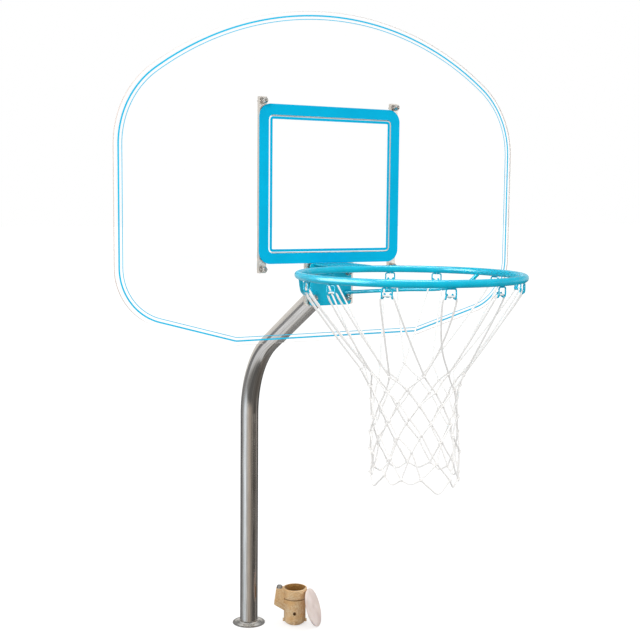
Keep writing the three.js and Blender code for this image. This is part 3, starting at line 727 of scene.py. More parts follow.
def dress(
    piece: Object, finish: Finish, body: str = "hoop", replaces: Sequence[str] = ()
) -> Object:
    """Gives a new piece its finish, its body and the nodes that it stands for, and reports it.

    Args:
        piece: the new piece.
        finish: its finish.
        body: the body that it rides on.
        replaces: the nodes that it stands for.

    Returns:
        The piece.
    """
    piece.data.materials.clear()
    piece.data.materials.append(material_of(finish))
    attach(piece, body)
    if replaces:
        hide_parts(*replaces)
    LOG.info("%s: %d faces", piece.name, len(piece.data.polygons))
    return piece


def rounded_copy(
    node: str,
    name: str,
    finish: Finish,
    body: str = "hoop",
    edge: float = 0.5,
    smooth_angle: float = 30.0,
) -> Object:
    """Copies a node, joins its loose triangles and rounds its edges.

    Args:
        node: the node that it stands for.
        name: the new piece's name.
        finish: its finish.
        body: the body that it rides on.
        edge: the width of the rounding.
        smooth_angle: edges sharper than this, in degrees, are rounded.

    Returns:
        The new piece.
    """
    bm = in_millimetres(frame["nodes"][node].data)
    bmesh.ops.remove_doubles(bm, verts=bm.verts, dist=0.01)
    bmesh.ops.dissolve_limit(bm, angle_limit=math.radians(0.5), verts=bm.verts, edges=bm.edges)
    piece = mesh_object(name, bm, smooth_angle)
    round_edges(piece, edge, smooth_angle)
    return dress(piece, finish, body, [node])


@dataclass
class Post:
    """The bent tube, its weld to the head plate, and the plate."""

    radius: float = 24.15
    wall: float = 2.8
    bend_radius: float = 245.0
    bend_angle: float = math.radians(60)
    bend_start: float = 586.55
    # The arm is made too long, then cut at the plate, less the weld's gap.
    arm_blank: float = 460.0
    head_plate_back: float = -419.0
    weld_gap: float = 0.3
    # The weld's bead, how far its middle lies from the plate and the tube, and its ripples.
    bead: float = 2.6
    bead_off_plate: float = 1.2
    bead_off_tube: float = 0.8
    ripples: int = 68
    ripple: tuple[float, float] = (1.0, 0.82)
    sides: int = 72
    bend_steps: int = 36

    def bent(self, x: float, y: float, s: float) -> Vector:
        """Carries a point of the straight tube to its place on the bent one.

        Args:
            x: across the tube.
            y: across the tube, away from the board.
            s: the length along the tube.

        Returns:
            The place of the point.
        """
        if s <= self.bend_start:
            return Vector((x, y, s))
        angle = min((s - self.bend_start) / self.bend_radius, self.bend_angle)
        beyond = max(0.0, s - self.bend_start - self.bend_radius * self.bend_angle)
        reach = self.bend_radius + y
        return Vector((
            x,
            reach * math.cos(angle) - self.bend_radius - beyond * math.sin(angle),
            self.bend_start + reach * math.sin(angle) + beyond * math.cos(angle),
        ))

    def tube(self) -> None:
        """Makes the tube straight, gives it its UV map, then bends it and cuts it at the plate."""
        bent_length = self.bend_radius * self.bend_angle
        length = self.bend_start + bent_length + self.arm_blank
        bm = bmesh.new()
        bmesh.ops.create_cone(
            bm, cap_ends=False, segments=self.sides, radius1=self.radius, radius2=self.radius,
            depth=length,
        )
        bmesh.ops.translate(bm, vec=(0, 0, length / 2), verts=bm.verts)
        for step in range(self.bend_steps + 1):
            height = self.bend_start + bent_length * step / self.bend_steps
            cut(bm, (0, 0, height), (0, 0, 1))
        layer = bm.loops.layers.uv.new("along")
        for face in bm.faces:
            middle = face.calc_center_median()
            turn = math.atan2(middle.y, middle.x)
            for loop in face.loops:
                away = math.atan2(loop.vert.co.y, loop.vert.co.x) - turn
                away = (away + math.pi) % FULL_TURN - math.pi
                loop[layer].uv = ((turn + away) * self.radius * MM, loop.vert.co.z * MM)
        for vert in bm.verts:
            vert.co = self.bent(*vert.co)
        arm_end = self.head_plate_back + self.weld_gap
        cut(bm, (0, arm_end, 0), (0, -1, 0), clear_outer=True)
        piece = mesh_object("bent_post", bm, 50.0)
        wall = piece.modifiers.new("wall", "SOLIDIFY")
        wall.thickness = self.wall * MM
        wall.offset = -1.0
        wall.use_even_offset = True
        # Keeps the tube's sides from shading round into its cut ends.
        piece.modifiers.new("normals", "WEIGHTED_NORMAL").keep_sharp = True
        dress(piece, POST_STEEL, replaces=["post_tube"])

    def weld(self) -> None:
        """Lays the weld bead round the arm's end, a ripple every 2.5 mm."""
        spare = self.head_plate_back - self.bent(0, 0, self.bend_start + 1e-6).y
        slope = 1 / math.tan(self.bend_angle)
        corner = self.bend_start + self.bend_radius * math.tan(self.bend_angle / 2)
        bead_y = self.head_plate_back + self.bead_off_plate
        centre = Vector((0, bead_y, corner - spare * slope))
        wide = self.radius + self.bead_off_tube
        tall = self.radius / math.sin(self.bend_angle) + self.bead_off_tube
        angles = [FULL_TURN * step / self.ripples for step in range(self.ripples)]
        run = [centre + Vector((wide * math.cos(a), 0.0, tall * math.sin(a))) for a in angles]
        piece = curve_piece(
            "arm_weld", [run], self.bead, sides=2, steps=2, closed=True, swell=self.ripple
        )
        dress(piece, WELD_STEEL)

    def build(self) -> None:
        """Makes the post's pieces."""
        self.tube()
        self.weld()
        rounded_copy("head_plate", "head_mounting_plate", BAR_STEEL, edge=0.8)


@dataclass
class RearFrame:
    """The two uprights and two crossbars behind the board."""

    edge: float = 1.2

    def build(self) -> None:
        """Rounds the corners of the rectangular tubes."""
        for kind, place, finish in (
            ("upright", "left", BAR_STEEL), ("upright", "right", BAR_STEEL),
            ("crossbar", "upper", CROSSBAR_STEEL), ("crossbar", "lower", CROSSBAR_STEEL),
        ):
            node = f"{kind}_{place}"
            rounded_copy(node, f"frame_{node}", finish, edge=self.edge)


@dataclass
class Board:
    """The clear sheet and its printed lines."""

    back: float = -425.0
    thickness: float = 6.0
    ink: float = 0.4
    # The ink clears the sheet by a hair, so that it is seen through the sheet from behind.
    lift: float = 0.05
    bottom: float = 838.0
    width: float = 1060.0
    height: float = 760.0
    crown: float = 750.0
    shoulder: float = 215.0
    lower_corner: float = 135.0
    flat_corner: float = 40.0
    flat_half: float = 246.0
    skirt: float = math.radians(15.5)
    polish: float = 0.6
    target_width: float = 376.6
    target_height: float = 362.4
    target_bottom: float = 1021.2
    bolt_hole: float = 4.4
    # The distance of each group of bolt holes from the middle, and their heights.
    bolts: tuple[tuple[float, tuple[float, float]], ...] = (
        (176.0, (1009.5, 1389.5)), (46.0, (938.5, 998.5)),
    )
    arc_steps: int = 40
    # Each print's name, its node and its two edges: the distance in from the sheet's edge, or from
    # the target's, with the radius of its corners.
    prints: ClassVar[tuple[tuple, ...]] = (
        ("edge_line", "border_line", (8.2,), (11.8,)),
        ("edge_pinline", "border_pinline", (17.3,), (18.9,)),
        ("target_band", "target_outer_band", (0, 30), (24.5, 11.3)),
        ("target_inner_line", "target_inner_band", (27.8, 8), (33.8, 2)),
    )

    def arc(self, x: float, z: float, radius: float, start: float, end: float) -> list[Vector]:
        """Gives the points of an arc in the board's plane."""
        angles = [start + (end - start) * i / self.arc_steps for i in range(self.arc_steps + 1)]
        return [Vector((x + radius * math.cos(a), z + radius * math.sin(a), 0)) for a in angles]

    def outline(self, inset: float) -> list[Vector]:
        """Draws the line that runs parallel to the sheet's edge.

        Args:
            inset: the distance in from the edge.

        Returns:
            The line's points, as x and height.
        """
        crown_z = self.bottom + self.height - self.crown
        shoulder_x = self.width / 2 - self.shoulder
        shoulder_z = crown_z + math.sqrt((self.crown - self.shoulder) ** 2 - shoulder_x ** 2)
        turn = math.atan2(shoulder_z - crown_z, shoulder_x)
        flat_x = self.flat_half - self.flat_corner * math.tan(self.skirt / 2)
        flat_z = self.bottom + self.flat_corner
        lower_x = self.width / 2 - self.lower_corner
        apart = math.sin(self.skirt) * (lower_x - flat_x) + self.lower_corner - self.flat_corner
        lower_z = flat_z + apart / math.cos(self.skirt)
        tilt = self.skirt - QUARTER_TURN
        half = [
            *self.arc(flat_x, flat_z, self.flat_corner - inset, -QUARTER_TURN, tilt),
            *self.arc(lower_x, lower_z, self.lower_corner - inset, tilt, 0),
            *self.arc(shoulder_x, shoulder_z, self.shoulder - inset, 0, turn),
            *self.arc(0, crown_z, self.crown - inset, turn, QUARTER_TURN),
        ]
        return half + [Vector((-p.x, p.y, 0)) for p in reversed(half[:-1])]

    def rounded_square(self, inset: float, radius: float) -> list[Vector]:
        """Draws a rounded rectangle inside the target's edge.

        Args:
            inset: the distance in from the target's outer edge.
            radius: the corners' radius.

        Returns:
            The line's points, as x and height.
        """
        x = self.target_width / 2 - inset - radius
        low = self.target_bottom + inset + radius
        high = self.target_bottom + self.target_height - inset - radius
        points = []
        for index, (cx, cz) in enumerate([(x, low), (x, high), (-x, high), (-x, low)]):
            points += self.arc(cx, cz, radius, (index - 1) * QUARTER_TURN, index * QUARTER_TURN)
        return points

    def flat(
        self, name: str, lines: Sequence[Sequence[Vector]], back: float, thickness: float
    ) -> Object:
        """Fills a flat outline and gives it thickness towards the front.

        Args:
            name: the object's name.
            lines: the outline, then any holes.
            back: the height of its back face along Y.
            thickness: its thickness.

        Returns:
            The object, at the origin, in metres.
        """
        curve = bpy.data.curves.new(name, "CURVE")
        curve.dimensions = "2D"
        curve.fill_mode = "BOTH"
        curve.extrude = thickness / 2 * MM
        for line in lines:
            spline = curve.splines.new("POLY")
            spline.points.add(len(line) - 1)
            spline.use_cyclic_u = True
            for point, place in zip(spline.points, line):
                point.co = (place.x * MM, place.y * MM, 0, 1)
        mesh = mesh_of(curve)
        bm = in_millimetres(mesh)
        bpy.data.meshes.remove(mesh)
        bmesh.ops.rotate(bm, matrix=Matrix.Rotation(QUARTER_TURN, 3, "X"), verts=bm.verts)
        bmesh.ops.translate(bm, vec=(0, back - thickness / 2, 0), verts=bm.verts)
        outward(bm)
        return mesh_object(name, bm, 30.0)

    def sheet(self) -> None:
        """Cuts the clear sheet with its eight bolt holes and its sawn edges."""
        places = [(s * x, z) for x, heights in self.bolts for s in (-1, 1) for z in heights]
        holes = [self.arc(x, z, self.bolt_hole, 0, FULL_TURN)[:-1] for x, z in places]
        piece = self.flat("clear_board", [self.outline(0), *holes], self.back, self.thickness)
        edges = [face.index for face in piece.data.polygons if abs(face.normal.y) < 0.5]
        round_edges(piece, self.polish)
        dress(piece, ACRYLIC, replaces=["backboard"])
        piece.data.materials.append(material_of(SAWN_EDGE))
        for index in edges:
            piece.data.polygons[index].material_index = 1

    def build(self) -> None:
        """Makes the sheet and its four prints."""
        self.sheet()
        back = self.back - self.thickness - self.lift
        for name, node, *edges in self.prints:
            draw, ink = self.rounded_square, INK
            if node.startswith("border"):
                draw, ink = self.outline, THIN_INK
            lines = [draw(*edge) for edge in edges]
            piece = self.flat(name, lines, back, self.ink - self.lift)
            dress(piece, ink, replaces=[node])


@dataclass
class Rim:
    """The ring, its plates, its brace rods and the net's hooks."""

    radius: float = 236.6
    rod: float = 8.0
    centre_y: float = -769.7
    height: float = 1012.0
    rod_sides: int = 28
    ring_steps: int = 168
    brace: float = 4.5
    brace_foot: Point = (39.5, -436.0, 950.5)
    # Where a brace meets the ring, from the ring's side, and how far under the ring's middle.
    brace_turn: float = math.radians(16.5)
    brace_drop: float = 6.0
    # The brace's knee, and the middle of its last rise: how far back from its end, and how low.
    knee: tuple[float, float] = (44.0, 37.0)
    rise: tuple[float, float] = (22.0, 20.0)
    hooks: int = 12
    hook_step: float = math.radians(30)
    # Each hook's distance from its even place, as a share of the step, as on the real ring.
    hook_shifts: tuple[float, ...] = (
        0, 0.117, 0.267, 0, 0, 0, 0, -0.04, -0.207, -0.35, -0.117, -0.25,
    )
    wire: float = 1.6
    # Half a hook's wire, from under the ring to its middle: outward, along the ring and up.
    half_hook: ClassVar[tuple[Point, ...]] = (
        (0, 0.5, -9.6), (0, 7.0, -9.6), (0, 10.0, -11.2), (0, 10.4, -14.5),
        (0, 10.4, -24.5), (-1.2, 10.3, -28.4), (-4.2, 9.8, -29.4), (-7.0, 8.4, -27.6),
        (-7.0, 6.6, -22.6), (-7.0, 5.8, -20.4), (-7.0, 4.2, -25.0), (-7.0, 0, -26.4),
    )

    def column_angle(self, position: float) -> float:
        """Gives the angle of an evenly spaced column round the ring, from +X."""
        return -QUARTER_TURN + (position - (self.hooks - 1) / 2) * self.hook_step

    def place(self, index: int, outward_by: float, along: float, up: float) -> Vector:
        """Carries a point from a hook's own frame, on the ring's centre line, to its place.

        Args:
            index: the hook's number, from 0.
            outward_by: the distance out from the ring's centre line.
            along: the distance along the ring.
            up: the height above the centre line.

        Returns:
            The place.
        """
        angle = self.column_angle(index + self.hook_shifts[index])
        turned = Vector((self.radius + outward_by, along, 0))
        turned.rotate(Matrix.Rotation(angle, 3, "Z"))
        return turned + Vector((0, self.centre_y, self.height + up))

    def ring(self) -> None:
        """Spins the rod's section round the ring."""
        bm = bmesh.new()
        section = bmesh.ops.create_circle(
            bm, cap_ends=False, segments=self.rod_sides, radius=self.rod
        )["verts"]
        bmesh.ops.rotate(bm, matrix=Matrix.Rotation(QUARTER_TURN, 3, "X"), verts=section)
        bmesh.ops.translate(bm, vec=(self.radius, 0, 0), verts=section)
        bmesh.ops.spin(
            bm, geom=bm.edges[:], cent=(0, 0, 0), axis=(0, 0, 1), angle=FULL_TURN,
            steps=self.ring_steps, use_merge=True,
        )
        outward(bm)
        bmesh.ops.translate(bm, vec=(0, self.centre_y, self.height), verts=bm.verts)
        piece = mesh_object("rim_rod", bm, 60.0)
        dress(piece, COATING, replaces=["rim_ring"])

    def braces(self) -> None:
        """Bends the two rods that hold up the ring's sides."""
        for side, word in ((-1, "left"), (1, "right")):
            x, y, z = self.brace_foot
            foot = Vector((side * x, y, z))
            end = Vector((
                side * self.radius * math.cos(self.brace_turn),
                self.centre_y + self.radius * math.sin(self.brace_turn),
                self.height - self.brace_drop,
            ))
            flat = Vector((end.x - foot.x, end.y - foot.y, 0)).normalized()
            knee = end - flat * self.knee[0]
            knee.z = self.height - self.knee[1]
            run = [foot, foot.lerp(knee, 0.5), foot.lerp(knee, 0.94)]
            run += [end - flat * self.rise[0] - Vector((0, 0, self.rise[1])), end]
            piece = curve_piece(f"brace_{word}", [run], self.brace, sides=4, steps=10)
            dress(piece, COATING, replaces=[f"brace_rod_{word}"])

    def hook(self, index: int) -> None:
        """Bends one hook of wire, with its two ends under the ring.

        Args:
            index: the hook's number, from 0.
        """
        mirrored = [(x, -y, z) for x, y, z in reversed(self.half_hook[:-1])]
        run = [self.place(index, *point) for point in (*self.half_hook, *mirrored)]
        piece = curve_piece(f"wire_hook_{index + 1:02d}", [run], self.wire, sides=3, steps=4)
        dress(piece, COATING, replaces=[f"net_hook_{index + 1:02d}"])

    def build(self) -> None:
        """Makes the rim's pieces."""
        self.ring()
        self.braces()
        rounded_copy("rim_mount_plate", "rim_plate", COATING, edge=0.9)
        rounded_copy("rim_bridge_plate", "rim_top_plate", COATING, edge=0.7)
        for index in range(self.hooks):
            self.hook(index)


@dataclass
class Net:
    """The knotted net: two strands from each hook, seven rows of knots and a hem of loops."""

    rim: Rim
    cord: float = 1.95
    waist: float = 92.0
    length: float = 420.0
    drops: tuple[float, ...] = (0.476, 0.55, 0.624, 0.707, 0.79, 0.886, 1.0)
    radii: tuple[float, ...] = (1.217, 1.054, 1.0, 1.0, 1.022, 1.043, 1.033)
    # The net hangs a little aside and twisted, and more so further down.
    drifts: tuple[float, ...] = (9, 11, 12, 13, 13, 14, 15)
    drift_turn: float = math.radians(-29.5)
    twist: float = math.radians(5)
    slack: float = 3.0
    # How unevenly the far side's knots hang, in degrees and in millimetres.
    uneven: tuple[float, float] = (2, 3)
    # How far a strand bows inward between two knots, and how far it dips or rises.
    bow: tuple[float, float] = (-1.0, 2.5)
    dip: tuple[float, float] = (-1.5, 1)
    # A knot's two turns: their lean and its spread in degrees, and half of each one's size.
    lean: float = 38
    lean_spread: float = 12
    wind: Point = (2.3, 0.8, 3.4)
    wind_steps: int = 8
    # The knots' cord is drawn this much tighter.
    knot_squeeze: float = 0.92
    # The hooks whose two strands cross on their way down.
    crossed: tuple[int, ...] = (5,)
    seed: int = 5

    # How the knots of the near side hang: each one's turn in degrees and rise in millimetres
    # from its even place, by row and column.
    hung: ClassVar[dict[tuple[int, int], tuple[float, float]]] = {
        (0, 3): (0.3, -0.1), (0, 4): (7.2, 3.4), (0, 5): (5.5, 6.0),
        (1, 3): (2.7, 6.0), (1, 4): (8.0, -1.7), (1, 5): (10.3, -0.7),
        (2, 2): (4.5, 7.9), (2, 3): (2.8, 2.6), (2, 4): (5.5, 0.0),
        (3, 1): (6.2, 1.0), (3, 2): (4.0, 9.9), (3, 3): (3.4, -2.5), (3, 4): (6.6, -8.0),
        (4, 1): (5.1, 4.1), (4, 2): (5.0, 11.4), (4, 3): (2.9, -4.8), (4, 4): (-4.8, -0.4),
        (5, 0): (9.8, -2.0), (5, 1): (7.4, 17.1), (5, 2): (10.0, -10.1), (5, 3): (8.3, -10.0),
        (6, 11): (15.2, 8.6), (6, 0): (8.9, 3.7), (6, 1): (4.0, 5.7), (6, 2): (16.6, -0.9),
        (6, 3): (14.3, -7.0),
    }
    # How deep the hem's near loops hang in millimetres, and how far along each is lowest.
    hems: ClassVar[dict[int, tuple[float, float]]] = {
        10: (27.0, 0.2), 11: (15.0, 0.45), 0: (9.0, 0.5), 1: (29.0, 0.62), 2: (16.0, 0.4)
    }
    far_hem: ClassVar[tuple[float, float]] = (12.0, 0.5)
    # The strand's way up to a hook's curls and into them: outward, along the ring and up.
    curl: ClassVar[tuple[Point, ...]] = (
        (-6.5, 14.0, -33.5), (-4.3, 12.4, -28.0), (-3.5, 9.8, -25.4), (-3.5, 5.0, -24.3),
    )

    def knots(self) -> list[list[Vector]]:
        """Works out the place of each knot, with the small unevenness of a hung net.

        Returns:
            The knots of each row, from the top.
        """
        chance = random.Random(self.seed)
        degrees, rises = self.uneven
        rows = []
        for row, (drop, radius, drift) in enumerate(zip(self.drops, self.radii, self.drifts)):
            aside = Vector((drift * math.cos(self.drift_turn), drift * math.sin(self.drift_turn)))
            places = []
            for index in range(self.rim.hooks):
                turn = math.degrees(self.twist) + chance.uniform(-degrees, degrees)
                spare = (turn, chance.uniform(-rises, rises))
                turn, rise = self.hung.get((row, index), spare)
                turn = self.rim.column_angle(index + 0.5 + row / 2) + math.radians(turn)
                out = self.waist * radius
                places.append(Vector((
                    out * math.cos(turn) + aside.x,
                    self.rim.centre_y + out * math.sin(turn) + aside.y,
                    self.rim.height - drop * self.length + rise,
                )))
            rows.append(places)
        return rows

    def loop(self, index: int, left: Vector, right: Vector) -> list[Vector]:
        """Runs one strand up through a hook's two curls and down again.

        Args:
            index: the hook.
            left: the knot before the hook, going round the ring.
            right: the knot after it.

        Returns:
            The strand's points.
        """
        up = [self.rim.place(index, x, -y, z) for x, y, z in self.curl]
        down = [self.rim.place(index, x, y, z) for x, y, z in reversed(self.curl)]
        if index in self.crossed:
            meet = ((up[0] + down[-1]) / 2).lerp((left + right) / 2, 0.6)
            apart = (up[0] - down[-1]).cross(meet - up[0]).normalized() * self.cord * 1.05
            return [right, meet + apart, *up, *down, meet - apart, left]
        slack = [up[0].lerp(left, 0.5), down[-1].lerp(right, 0.5)]
        for place in slack:
            place.z -= self.slack
        return [left, slack[0], *up, *down, slack[1], right]

    def hem(self, index: int, left: Vector, right: Vector) -> list[Vector]:
        """Hangs the loop of the hem between two neighbouring knots of the last row.

        Args:
            index: the column of the first knot.
            left: the first knot.
            right: the next one.

        Returns:
            The loop's points.
        """
        depth, lowest = self.hems.get(index, self.far_hem)
        shares = ((lowest / 2, 0.6), (lowest, 1.0), ((1 + lowest) / 2, 0.6))
        sagging = [left.lerp(right, share) - Vector((0, 0, depth * deep)) for share, deep in shares]
        return [left, *sagging, right]

    def knot(self, place: Vector, chance: random.Random) -> list[list[Vector]]:
        """Winds one knot as two small crossing turns of cord.

        Args:
            place: the knot's middle.
            chance: what its tilt is drawn from.

        Returns:
            The two closed turns.
        """
        facing = Matrix.Rotation(math.atan2(place.y - self.rim.centre_y, place.x), 3, "Z")
        out, across, up = self.wind
        angles = [FULL_TURN * step / self.wind_steps for step in range(self.wind_steps)]
        wound = []
        for lean in (self.lean, -self.lean):
            lean += chance.uniform(-self.lean_spread, self.lean_spread)
            tilt = facing @ Matrix.Rotation(math.radians(lean), 3, "X")
            wound.append([
                place + tilt @ Vector((
                    out * math.cos(a), across * math.sin(2 * a), up * math.sin(a)
                ))
                for a in angles
            ])
        return wound

    def build(self) -> None:
        """Makes the net as one piece: its strands and its knots, joined."""
        rows = self.knots()
        chance = random.Random(self.seed + 1)
        columns = range(self.rim.hooks)
        runs = [self.loop(index, rows[0][index - 1], rows[0][index]) for index in columns]
        for upper, lower in zip(rows, rows[1:]):
            for index in columns:
                for below in (lower[index - 1], lower[index]):
                    middle = upper[index].lerp(below, 0.5)
                    inward = Vector((-middle.x, self.rim.centre_y - middle.y, 0)).normalized()
                    sag = inward * chance.uniform(*self.bow)
                    sag += Vector((0, 0, chance.uniform(*self.dip)))
                    runs.append([upper[index], middle + sag, below])
        last = rows[-1]
        runs += [self.hem(index, last[index], last[(index + 1) % len(last)]) for index in columns]
        strands = curve_piece("net_strands", runs, self.cord, sides=2, steps=6)
        wound = [ring for places in rows for place in places for ring in self.knot(place, chance)]
        tight = self.cord * self.knot_squeeze
        knots = curve_piece("net_knots", wound, tight, sides=2, steps=3, closed=True)
        bm = in_millimetres(strands.data, knots.data)
        bpy.data.objects.remove(strands)
        bpy.data.objects.remove(knots)
        dress(mesh_object("knotted_net", bm, 60.0), CORD, replaces=["net"])


@dataclass
class Fasteners:
    """The bolts behind the board and the cap nuts in front."""

    edge: float = 0.5

    def build(self) -> None:
        """Rounds the edges of the sixteen bolts and cap nuts."""
        for group in ("board", "rim"):
            for number in range(1, 5):
                for word in ("bolt", "cap_nut"):
                    node = f"{group}_{word}_{number}"
                    name = f"{node}_tumbled"
                    rounded_copy(node, name, BRIGHT_STEEL, edge=self.edge)


@dataclass
class Escutcheon:
    """The pressed ring on the post's foot."""

    sheet: float = 1.4
    edge: float = 0.35
    # The middle of the sheet, from the rim to the bore, as the radius and the height.
    section: ClassVar[tuple[tuple[float, float], ...]] = (
        (44.7, 0.7), (39.5, 0.7), (37.0, 1.3), (33.0, 3.1), (29.0, 3.7), (27.2, 4.3),
        (26.2, 5.2), (25.7, 7.4),
    )

    def build(self) -> None:
        """Spins the low pressed section round the post."""
        bm = spun(self.section)
        # The section is open, so its faces are turned to look up.
        if sum(face.normal.z for face in bm.faces) < 0:
            bmesh.ops.reverse_faces(bm, faces=bm.faces)
        piece = mesh_object("pressed_escutcheon", bm, 50.0)
        wall = piece.modifiers.new("wall", "SOLIDIFY")
        wall.thickness = self.sheet * MM
        wall.offset = 0.0
        round_edges(piece, self.edge)
        dress(piece, BRIGHT_STEEL, "escutcheon", ["escutcheon"])


@dataclass
class DeckAnchor:
    """The cast socket with its wedge, bolt and bonding screw, and the cover that leans on it."""

    x: float = 110.0
    y: float = -64.0
    height: float = 101.6
    # The flare of the mouth: its radius at the top, its depth, and what lies inside its wall.
    mouth: float = 29.2
    flare: float = 6.0
    mouth_wall: float = 27
    # The bore's reach from the axis, and the top of its floor.
    bore_reach: float = 29
    bore_floor: float = 20
    smooth_angle: float = 32.0
    cover_radius: float = 52.6
    cover_distance: float = 69.3
    cover_direction: float = math.radians(-44)
    cover_lean: float = math.radians(18.61)
    cover_drop: float = 0.447

    def casting(self) -> None:
        """Copies the cast body, flares its mouth for the post and paints shade into its bore with
        darker brass.
        """
        piece = rounded_copy(
            "anchor_body", "cast_anchor", BRASS, "anchor", edge=0.7,
            smooth_angle=self.smooth_angle,
        )
        # The brushed post is too rough to show its image.
        piece.visible_glossy = False
        axis = Vector((self.x, self.y)) * MM
        top = (self.height - 0.01) * MM
        bm = bmesh.new()
        bm.from_mesh(piece.data)
        cut(bm, (0, 0, (self.height - self.flare) * MM), (0, 0, 1), dist=1e-6)
        for vert in bm.verts:
            out = vert.co.xy - axis
            if vert.co.z > top and out.length < self.mouth_wall * MM:
                vert.co.xy = axis + out * (self.mouth * MM / out.length)
        bm.normal_update()
        bore = []
        for face in bm.faces:
            middle = face.calc_center_median()
            out = middle.xy - axis
            floor = face.normal.z > 0.9 and middle.z < self.bore_floor * MM
            inside = out.length < self.bore_reach * MM and middle.z < top
            if inside and (floor or out.dot(face.normal.xy) < 0):
                bore.append(face.index)
        bm.to_mesh(piece.data)
        bm.free()
        piece.data.set_sharp_from_angle(angle=math.radians(self.smooth_angle))
        # The bore's faces wear the darker brass of painted shade.
        piece.data.materials.append(material_of(BORE_SHADE_BRASS))
        for index in bore:
            piece.data.polygons[index].material_index = 1

    def cover(self) -> None:
        """Spins the dished disc and leans it on the collar."""
        radius = self.cover_radius
        bm = spun([
            (0, 2.2), (radius * 0.3, 2.0), (radius * 0.6, 1.4), (radius * 0.85, 0.5),
            (radius - 4.4, 0.0), (radius - 4.0, -0.4), (radius - 3.9, -2.1),
            (radius - 3.5, -2.5), (radius - 1.8, -2.5), (radius - 1.3, -2.0),
            (radius - 0.4, 0.5), (radius, 1.4), (radius - 0.4, 2.3), (radius - 1.6, 2.8),
            (radius * 0.85, 3.3), (radius * 0.6, 4.2), (radius * 0.3, 4.8), (0, 5.0),
        ])
        foot = Vector((
            self.x + self.cover_distance * math.cos(self.cover_direction),
            self.y + self.cover_distance * math.sin(self.cover_direction),
            -self.cover_drop,
        ))
        placed = (
            Matrix.Translation(foot)
            @ Matrix.Rotation(self.cover_direction, 4, "Z")
            @ Matrix.Rotation(-self.cover_lean, 4, "Y")
            @ Matrix.Translation((0, 0, radius))
            @ Matrix.Rotation(QUARTER_TURN, 4, "Y")
        )
        bmesh.ops.transform(bm, matrix=placed, verts=bm.verts)
        piece = mesh_object("moulded_cover", bm, 60.0)
        dress(piece, COVER, "cover", ["anchor_cover"])

    def build(self) -> None:
        """Makes the anchor's pieces and its cover."""
        self.casting()
        for node, name, finish, body, edge in (
            ("anchor_wedge", "cast_wedge", BRASS, "wedge", 0.6),
            ("wedge_bolt", "hex_wedge_bolt", BRIGHT_STEEL, "wedge_bolt", 0.5),
            ("wedge_washer", "flat_wedge_washer", BRIGHT_STEEL, "anchor", 0.3),
            ("bonding_screw", "slotted_bonding_screw", MACHINED_BRASS, "anchor", 0.3),
        ):
            rounded_copy(node, name, finish, body, edge)
        self.cover()


